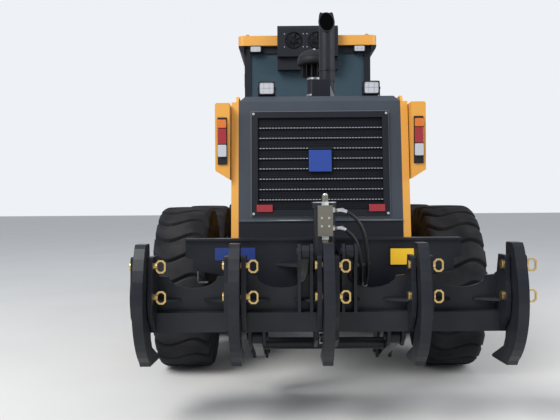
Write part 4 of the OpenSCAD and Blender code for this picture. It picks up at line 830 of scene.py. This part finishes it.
def make_ripper_fittings():
    """The bright ring on the ripper cylinder's head, and the valve block's screws and hexagon nuts."""
    ring = band(0.052, 0.0815, 0.0, 0.006, (0, CYLINDER_Y, 1.3812), "z", 48)
    plug = pin((0, CYLINDER_Y), 1.3812, 1.398, 0.016, 6, "z")
    make_piece("cylinder_cap_ring", placed(join([ring, plug])), "silver", "ripper_barrel")
    parts = []
    for x in (-0.023, 0.023):
        for z in (1.232, 1.284):
            parts.append(pin((x, z), -2.3065, -2.3002, 0.0075, 16, "y"))
    for low, high in ((1.3655, 1.388), (1.145, 1.1675)):
        parts.append(pin((0, VALVE_Y), low, high, 0.0255, 6, "z"))
    cap = [(0.0, 0.014), (0.012, 0.011), (0.019, 0.0), (0.0, 0.0)]
    parts.append(turned(cap, (0, VALVE_Y, 1.4302), "z", 24))
    for z in (1.215, 1.330):
        parts.append(pin((VALVE_Y, z), 0.0482, 0.0605, 0.0215, 6, "x"))
    make_piece("valve_fittings", placed(join(parts)), "silver", "ripper_barrel")


# Cab


def make_cab_trim():
    """Black flares under the roof's sides, lifting eyes, a head lining, mirrors, a wiper and grab rails."""
    a = np.linspace(0, np.pi / 2, 9)
    curve = np.stack([0.7085 + 0.062 * np.sin(a), 3.0515 + 0.077 * (1 - np.cos(a))], 1)
    flare = prism(np.concatenate([curve, [[0.7085, 3.1285]]]), "y", 1.105, 2.495)
    a = np.linspace(0, np.pi, 13)
    eye = np.stack([0.673 + 0.024 * np.cos(a), np.full(13, 1.20), 3.2395 + 0.034 * np.sin(a)], 1)
    arm = [(0.600, 2.498, 3.170), (0.600, 2.560, 3.175), (0.600, 2.605, 3.150), (0.600, 2.615, 3.09),
           (0.600, 2.615, 2.60)]
    head = move(prism(rounded(0.083, 0.150, 0.03), "y", 2.600, 2.645), (0.600, 0, 2.745))
    glass = move(prism(rounded(0.073, 0.140, 0.024), "y", 2.5975, 2.5998), (0.600, 0, 2.745))
    rail = [(0.706, 1.27, 1.46), (0.752, 1.27, 1.475), (0.768, 1.27, 1.52), (0.768, 1.27, 1.95),
            (0.752, 1.27, 1.995), (0.706, 1.27, 2.01)]
    pairs = {"roof_flare": (flare, "black"), "lifting_eye": (tube(eye, 0.007, 10), "yellow"),
             "mirror_arm": (tube(arm, 0.011, 12), "black"), "mirror_head": (head, "plastic"),
             "mirror_glass": (glass, "mirror"), "grab_rail": (tube(rail, 0.0125, 12), "black")}
    for side, label in LABELS.items():
        for name, (part, kind) in pairs.items():
            piece = make_piece("%s_%s" % (name, label), placed(on_side(part, side)), kind)
            if name == "mirror_head":
                bevel(piece, 0.01, 3)
    make_piece("head_lining", placed(box((-0.632, 1.225, 3.121), (0.632, 2.375, 3.1292))), "inside")
    wiper = [pin((0.0, 1.60), 2.437, 2.447, 0.014, 16, "y"),
             tube([(0.0, 2.443, 1.60), (0.27, 2.443, 2.16)], 0.005, 8),
             tube([(0.10, 2.437, 2.03), (0.44, 2.437, 2.29)], 0.006, 8)]
    make_piece("front_wiper", placed(join(wiper)), "plastic")
    screws = [pin((x + dx, FAN_Z + dz), 0.9865, 0.9905, 0.0055, 10, "y") for x in FAN_PLACES.values()
              for dx in (-0.104, 0.104) for dz in (-0.072, 0.072)]
    make_piece("cooler_screws", placed(join(screws)), "silver")


def make_door_glass():
    """Tinted panes on both faces of each cab door's window, with a rubber gasket round the outer one."""
    panes = join([box((x0, 1.627, 1.582), (x1, 2.323, 2.988))
                  for x0, x1 in ((0.6892, 0.6905), (0.6793, 0.6807))])
    outer = rounded(0.348, 0.703, 0.012) + [1.975, 2.285]
    inner = rounded(0.332, 0.687, 0.03) + [1.975, 2.285]
    gasket = ring_frame(outer, inner, "x", 0.6906, 0.6945)
    for side, label in LABELS.items():
        for name, part, kind in (("door_glass", panes, "tint"), ("door_gasket", gasket, "plastic")):
            part = placed(on_side(part, side))
            outward(make_piece("%s_%s" % (name, label), part, kind, "cab_door_" + label))


def make_levers():
    """Control levers with round knobs beside the seat."""
    levers = []
    knobs = []
    knob = [(0.0, -0.02), (0.012, -0.016), (0.018, 0.0), (0.013, 0.014), (0.0, 0.019)]
    for side in LABELS:
        for k in range(4):
            y = 1.56 + k * 0.055
            x = side * (0.355 + 0.018 * (k % 2))
            levers.append(tube([(x, y, 1.755), (x, y + 0.015, 1.862)], 0.0045, 8))
            knobs.append(turned(knob, (x, y + 0.015, 1.875), "z", 16))
    make_piece("levers", placed(join(levers)), "steel")
    make_piece("lever_knobs", placed(join(knobs)), "plastic", "root", True)


def make_pad(name, low, high, power):
    """A superellipsoid between two corners: x = cos u cos v, y = cos u sin v, z = sin u, with each factor
    raised to a power. Sewn channels shift its two broad faces by 0.006 cos(3 pi x)."""
    def signed(t):
        return np.sign(t) * np.abs(t) ** power

    low = np.array(low)
    high = np.array(high)
    u = np.linspace(-np.pi / 2, np.pi / 2, 33)
    v = np.linspace(-np.pi, np.pi, 64, endpoint=False)
    u, v = np.meshgrid(u, v, indexing="ij")
    unit = np.stack([signed(np.cos(u)) * signed(np.cos(v)), signed(np.cos(u)) * signed(np.sin(v)),
                     signed(np.sin(u))], -1)
    points = unit * (high - low) / 2 + (low + high) / 2
    # The thin way is the way that the pad is sat on or leant against
    face = int(np.argmin(high - low))
    channels = 0.006 * np.cos(unit[..., 0] * 3 * np.pi)
    points[..., face] += channels * np.clip(np.abs(unit[..., face]) - 0.5, 0, 1)
    pad = (points.reshape(-1, 3), grid_faces(33, 64, False, True).tolist())
    piece = make_piece(name, placed(pad), "cloth", "root", True)
    outward(piece)
    return piece


def make_seat():
    """Cushion, backrest and headrest with crowned faces, on a plain base."""
    cushion = make_pad("seat_cushion", (-0.25, 1.43, 1.565), (0.25, 1.92, 1.70), 0.45)
    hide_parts("seat")
    make_pad("seat_back", (-0.235, 1.305, 1.68), (0.235, 1.435, 2.38), 0.45)
    make_pad("seat_headrest", (-0.14, 1.305, 2.385), (0.14, 1.395, 2.60), 0.5)
    base = prism([(1.50, 1.291), (1.80, 1.291), (1.78, 1.56), (1.52, 1.56)], "x", -0.16, 0.16)
    shell = prism([(1.42, 1.545), (1.92, 1.545), (1.92, 1.575), (1.42, 1.575)], "x", -0.24, 0.24)
    make_piece("seat_base", placed(join([base, shell])), "plastic")


# Blade, gooseneck and hood doors

BLADE_Y = 3.750


def make_edge_bolts():
    """Two rows of plough bolts along the cutting edge, on its sloping face."""
    bolts = []
    for x in np.linspace(-1.75, 1.75, 24):
        for z in (0.205, 0.235):
            y = BLADE_Y + 0.036 + 0.016 * (0.270 - z) / 0.120
            bolts.append(pin((x, z), y - 0.002, y + 0.0035, 0.0105, 12, "y"))
    make_piece("edge_bolts", placed(join(bolts)), "steel", "blade")


# The lowest pipe's way over the gooseneck's side, as Y and Z
PIPE_ROUTE = [(2.83, 1.622), (3.10, 1.632), (3.30, 1.638), (3.50, 1.615), (4.00, 1.550), (4.50, 1.475),
              (4.90, 1.380), (5.20, 1.262), (5.45, 1.120), (5.70, 0.985), (5.90, 0.945), (6.25, 0.940)]
PIPE_STEP = 0.021


def make_pipes():
    """Three hydraulic pipes along each side of the gooseneck, in clamps.
    Each pipe is the same curve over the beam's side, a step higher than the one before."""
    path = smooth_path([(0.1585, y, z) for y, z in PIPE_ROUTE], 70)[0]
    pipes = join([tube(path + [0, 0, PIPE_STEP * k], 0.0065, 10) for k in range(3)])
    clamps = join([box((0.1502, y - 0.014, z - 0.014), (0.1665, y + 0.014, z + 0.056))
                   for y, z in path[[6, 22, 36, 50, 64], 1:]])
    for side, label in LABELS.items():
        make_piece("neck_pipes_" + label, placed(on_side(pipes, side)), "steel", "front_half", True)
        make_piece("pipe_clamps_" + label, placed(on_side(clamps, side)), "plastic", "front_half")


def make_door_locks():
    """A round lock on each hood door."""
    profile = [(0.0, 0.0), (0.026, 0.0), (0.026, 0.006), (0.021, 0.009), (0.0, 0.009)]
    lock = turned(profile, (0.6452, -1.300, 1.600), "x", 28)
    for side, label in LABELS.items():
        part = placed(on_side(lock, side))
        outward(make_piece("door_lock_" + label, part, "black", "hood_door_" + label))


# Stage

FLOOR_HALF = 60.0
FLOOR_Z = -0.002
LAMP_TARGET = Vector((0, -2.5, 1.0))


def make_stage(p):
    """A pale floor, a soft key lamp, a fill and an even sky."""
    mesh = bpy.data.meshes.new("floor")
    corners = [(x * FLOOR_HALF, y * FLOOR_HALF, FLOOR_Z) for x, y in ((-1, -1), (1, -1), (1, 1), (-1, 1))]
    mesh.from_pydata(corners, [], [(0, 1, 2, 3)])
    floor_finish = Finish("floor", p.floor_color, 0.85)
    floor_finish.dusty(tuple(c * 0.9 for c in p.floor_color), 0.5, 0.8, -5, 5)
    mesh.materials.append(floor_finish.mat)
    linked("floor", mesh)
    for name, place, energy, size in (("key", (-7.0, -10.5, 10.0), p.key_power, 7.0),
                                      ("fill", (10.0, -6.0, 6.0), p.key_power * 0.35, 8.0)):
        data = bpy.data.lights.new(name, "AREA")
        data.energy = energy
        data.size = size
        lamp = linked(name, data)
        lamp.location = place
        lamp.rotation_euler = (LAMP_TARGET - Vector(place)).to_track_quat("-Z", "Y").to_euler()
    # The sky lights the part with one colour and shows the camera a brighter one
    world = bpy.data.worlds.new("sky")
    world.use_nodes = True
    bpy.context.scene.world = world
    tree = world.node_tree
    light = tree.nodes["Background"]
    light.inputs["Color"].default_value = (0.82, 0.88, 0.97, 1)
    light.inputs["Strength"].default_value = p.sky_power
    seen = tree.nodes.new("ShaderNodeBackground")
    seen.inputs["Color"].default_value = (0.9, 0.93, 0.97, 1)
    seen.inputs["Strength"].default_value = 0.95
    paths = tree.nodes.new("ShaderNodeLightPath")
    mix = tree.nodes.new("ShaderNodeMixShader")
    tree.links.new(paths.outputs["Is Camera Ray"], mix.inputs["Fac"])
    tree.links.new(light.outputs[0], mix.inputs[1])
    tree.links.new(seen.outputs[0], mix.inputs[2])
    tree.links.new(mix.outputs[0], tree.nodes["World Output"].inputs["Surface"])
    bpy.context.scene.view_settings.view_transform = "Standard"


# Settings

COLOR = {"size": 3, "subtype": "COLOR", "min": 0, "max": 1}


class CameraSettings(bpy.types.PropertyGroup):
    lens: bpy.props.FloatProperty(
        name="Lens", description="Focal length", default=45.1, min=10, max=200, unit="CAMERA")
    place: bpy.props.FloatVectorProperty(
        name="Place", description="Where the camera stands", default=(-0.25, -8.899, 1.40), size=3,
        subtype="TRANSLATION", unit="LENGTH")
    pitch: bpy.props.FloatProperty(
        name="Pitch", description="Tilt up from level", default=math.radians(-0.8), subtype="ANGLE")
    yaw: bpy.props.FloatProperty(
        name="Yaw", description="Turn to the left", default=math.radians(0.5), subtype="ANGLE")
    roll: bpy.props.FloatProperty(
        name="Roll", description="Turn about the view's axis", default=math.radians(0.4), subtype="ANGLE")


class FinishSettings(bpy.types.PropertyGroup):
    yellow_paint: bpy.props.FloatVectorProperty(
        name="Yellow paint", description="Hood sides, roof, front frame and rims",
        default=(0.62, 0.285, 0.036), **COLOR)
    slate_paint: bpy.props.FloatVectorProperty(
        name="Slate paint", description="The hood's dark paint", default=(0.028, 0.035, 0.047), **COLOR)
    dark_paint: bpy.props.FloatVectorProperty(
        name="Dark paint", description="The frame's and ripper's paint", default=(0.008, 0.0095, 0.014),
        **COLOR)
    dust_color: bpy.props.FloatVectorProperty(
        name="Dust", description="Dust on the paint", default=(0.30, 0.29, 0.27), **COLOR)
    blue_plate: bpy.props.FloatVectorProperty(
        name="Blue plate", description="The blank plate on the grille", default=(0.01, 0.04, 0.23), **COLOR)
    glass_tint: bpy.props.FloatVectorProperty(
        name="Glass tint", description="Tint of the cab's glass", default=(0.085, 0.135, 0.17), **COLOR)


class TyreSettings(bpy.types.PropertyGroup):
    tyre_radius: bpy.props.FloatProperty(
        name="Tyre radius", description="Radius at the lugs' tips", default=0.674, unit="LENGTH")
    tyre_width: bpy.props.FloatProperty(
        name="Tyre width", description="Width over the side walls", default=0.445, unit="LENGTH")
    lug_count: bpy.props.IntProperty(
        name="Lugs", description="Lugs round a tyre", default=24, min=12, max=40)
    lug_depth: bpy.props.FloatProperty(
        name="Lug depth", description="Depth of the grooves", default=0.028, unit="LENGTH")
    tyre_steps: bpy.props.IntProperty(
        name="Steps", description="Steps round a tyre", default=624, min=120, max=1200)


class GrilleSettings(bpy.types.PropertyGroup):
    mesh_pitch: bpy.props.FloatProperty(
        name="Mesh pitch", description="Distance between the screen's wires", default=0.013, unit="LENGTH")


class StageSettings(bpy.types.PropertyGroup):
    floor_color: bpy.props.FloatVectorProperty(
        name="Floor", description="Colour of the floor", default=(0.62, 0.61, 0.59), **COLOR)
    key_power: bpy.props.FloatProperty(
        name="Key lamp", description="Power of the key lamp in watts", default=1900)
    sky_power: bpy.props.FloatProperty(name="Sky", description="Strength of the even light", default=0.72)


GROUPS = {"grader_camera": CameraSettings, "grader_finish": FinishSettings, "grader_tyre": TyreSettings,
          "grader_grille": GrilleSettings, "grader_stage": StageSettings}


# Operators and the panel


class GraderCamera(bpy.types.Operator):
    """Place the camera behind the ripper"""
    bl_idname = "grader.camera"
    bl_label = "Camera"

    def execute(self, context):
        make_camera(context.scene.grader_camera)
        return {"FINISHED"}


class GraderFinishes(bpy.types.Operator):
    """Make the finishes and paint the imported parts"""
    bl_idname = "grader.finishes"
    bl_label = "Finishes"

    def execute(self, context):
        make_finishes(context.scene.grader_finish)
        paint_nodes()
        return {"FINISHED"}


class GraderHoses(bpy.types.Operator):
    """Run the ripper's hoses"""
    bl_idname = "grader.hoses"
    bl_label = "Hoses"

    def execute(self, context):
        make_hoses()
        return {"FINISHED"}


class GraderWheels(bpy.types.Operator):
    """Make the tyres and the wheel nuts"""
    bl_idname = "grader.wheels"
    bl_label = "Wheels"

    def execute(self, context):
        make_tyres(context.scene.grader_tyre)
        make_wheel_nuts()
        return {"FINISHED"}


class GraderRear(bpy.types.Operator):
    """Make the grille's mesh, the plates, the tail lamps and the trim at the rear"""
    bl_idname = "grader.rear"
    bl_label = "Rear face"

    def execute(self, context):
        make_grille_mesh(context.scene.grader_grille)
        make_plates()
        make_tail_lamps()
        make_bracket()
        make_skirt()
        return {"FINISHED"}


class GraderLamps(bpy.types.Operator):
    """Make the work lamps' lenses and bezels"""
    bl_idname = "grader.lamps"
    bl_label = "Work lamps"

    def execute(self, context):
        make_work_lamps()
        return {"FINISHED"}


class GraderTop(bpy.types.Operator):
    """Make the fans, the exhaust's fittings and the precleaner's"""
    bl_idname = "grader.top"
    bl_label = "Roof and stack"

    def execute(self, context):
        make_fans()
        make_stack()
        make_precleaner()
        return {"FINISHED"}


class GraderRipper(bpy.types.Operator):
    """Make the fittings of the ripper's cylinder and valve block"""
    bl_idname = "grader.ripper"
    bl_label = "Ripper fittings"

    def execute(self, context):
        make_ripper_fittings()
        return {"FINISHED"}


class GraderCab(bpy.types.Operator):
    """Make the cab's outer trim and what shows through its glass"""
    bl_idname = "grader.cab"
    bl_label = "Cab"

    def execute(self, context):
        make_cab_trim()
        make_door_glass()
        make_levers()
        return {"FINISHED"}


class GraderFront(bpy.types.Operator):
    """Make the blade's bolts, the gooseneck's pipes and the doors' locks"""
    bl_idname = "grader.front"
    bl_label = "Blade and gooseneck"

    def execute(self, context):
        make_edge_bolts()
        make_pipes()
        make_door_locks()
        return {"FINISHED"}


class GraderSeat(bpy.types.Operator):
    """Make the padded seat"""
    bl_idname = "grader.seat"
    bl_label = "Seat"

    def execute(self, context):
        make_seat()
        return {"FINISHED"}


class GraderStage(bpy.types.Operator):
    """Make the floor, the lamps and the sky"""
    bl_idname = "grader.stage"
    bl_label = "Stage"

    def execute(self, context):
        make_stage(context.scene.grader_stage)
        return {"FINISHED"}


OPERATORS = (GraderCamera, GraderFinishes, GraderHoses, GraderWheels, GraderRear, GraderLamps, GraderTop,
             GraderRipper, GraderCab, GraderFront, GraderSeat, GraderStage)


class GraderPanel(bpy.types.Panel):
    """Buttons for each group of pieces"""
    bl_idname = "VIEW3D_PT_grader"
    bl_label = "Motor grader"
    bl_space_type = "VIEW_3D"
    bl_region_type = "UI"
    bl_category = "Grader"

    def draw(self, context):
        for operator in OPERATORS:
            self.layout.operator(operator.bl_idname)


CLASSES = (*GROUPS.values(), *OPERATORS, GraderPanel)


def register():
    for cls in CLASSES:
        bpy.utils.register_class(cls)
    for name, group in GROUPS.items():
        setattr(bpy.types.Scene, name, bpy.props.PointerProperty(type=group))


def unregister():
    for name in GROUPS:
        delattr(bpy.types.Scene, name)
    for cls in reversed(CLASSES):
        bpy.utils.unregister_class(cls)


def main():
    """Makes every piece in order."""
    register()
    bpy.ops.grader.camera()
    bpy.ops.grader.finishes()
    bpy.ops.grader.hoses()
    bpy.ops.grader.wheels()
    bpy.ops.grader.rear()
    bpy.ops.grader.lamps()
    bpy.ops.grader.top()
    bpy.ops.grader.ripper()
    bpy.ops.grader.cab()
    bpy.ops.grader.front()
    bpy.ops.grader.seat()
    bpy.ops.grader.stage()


if __name__ == "__main__":
    main()
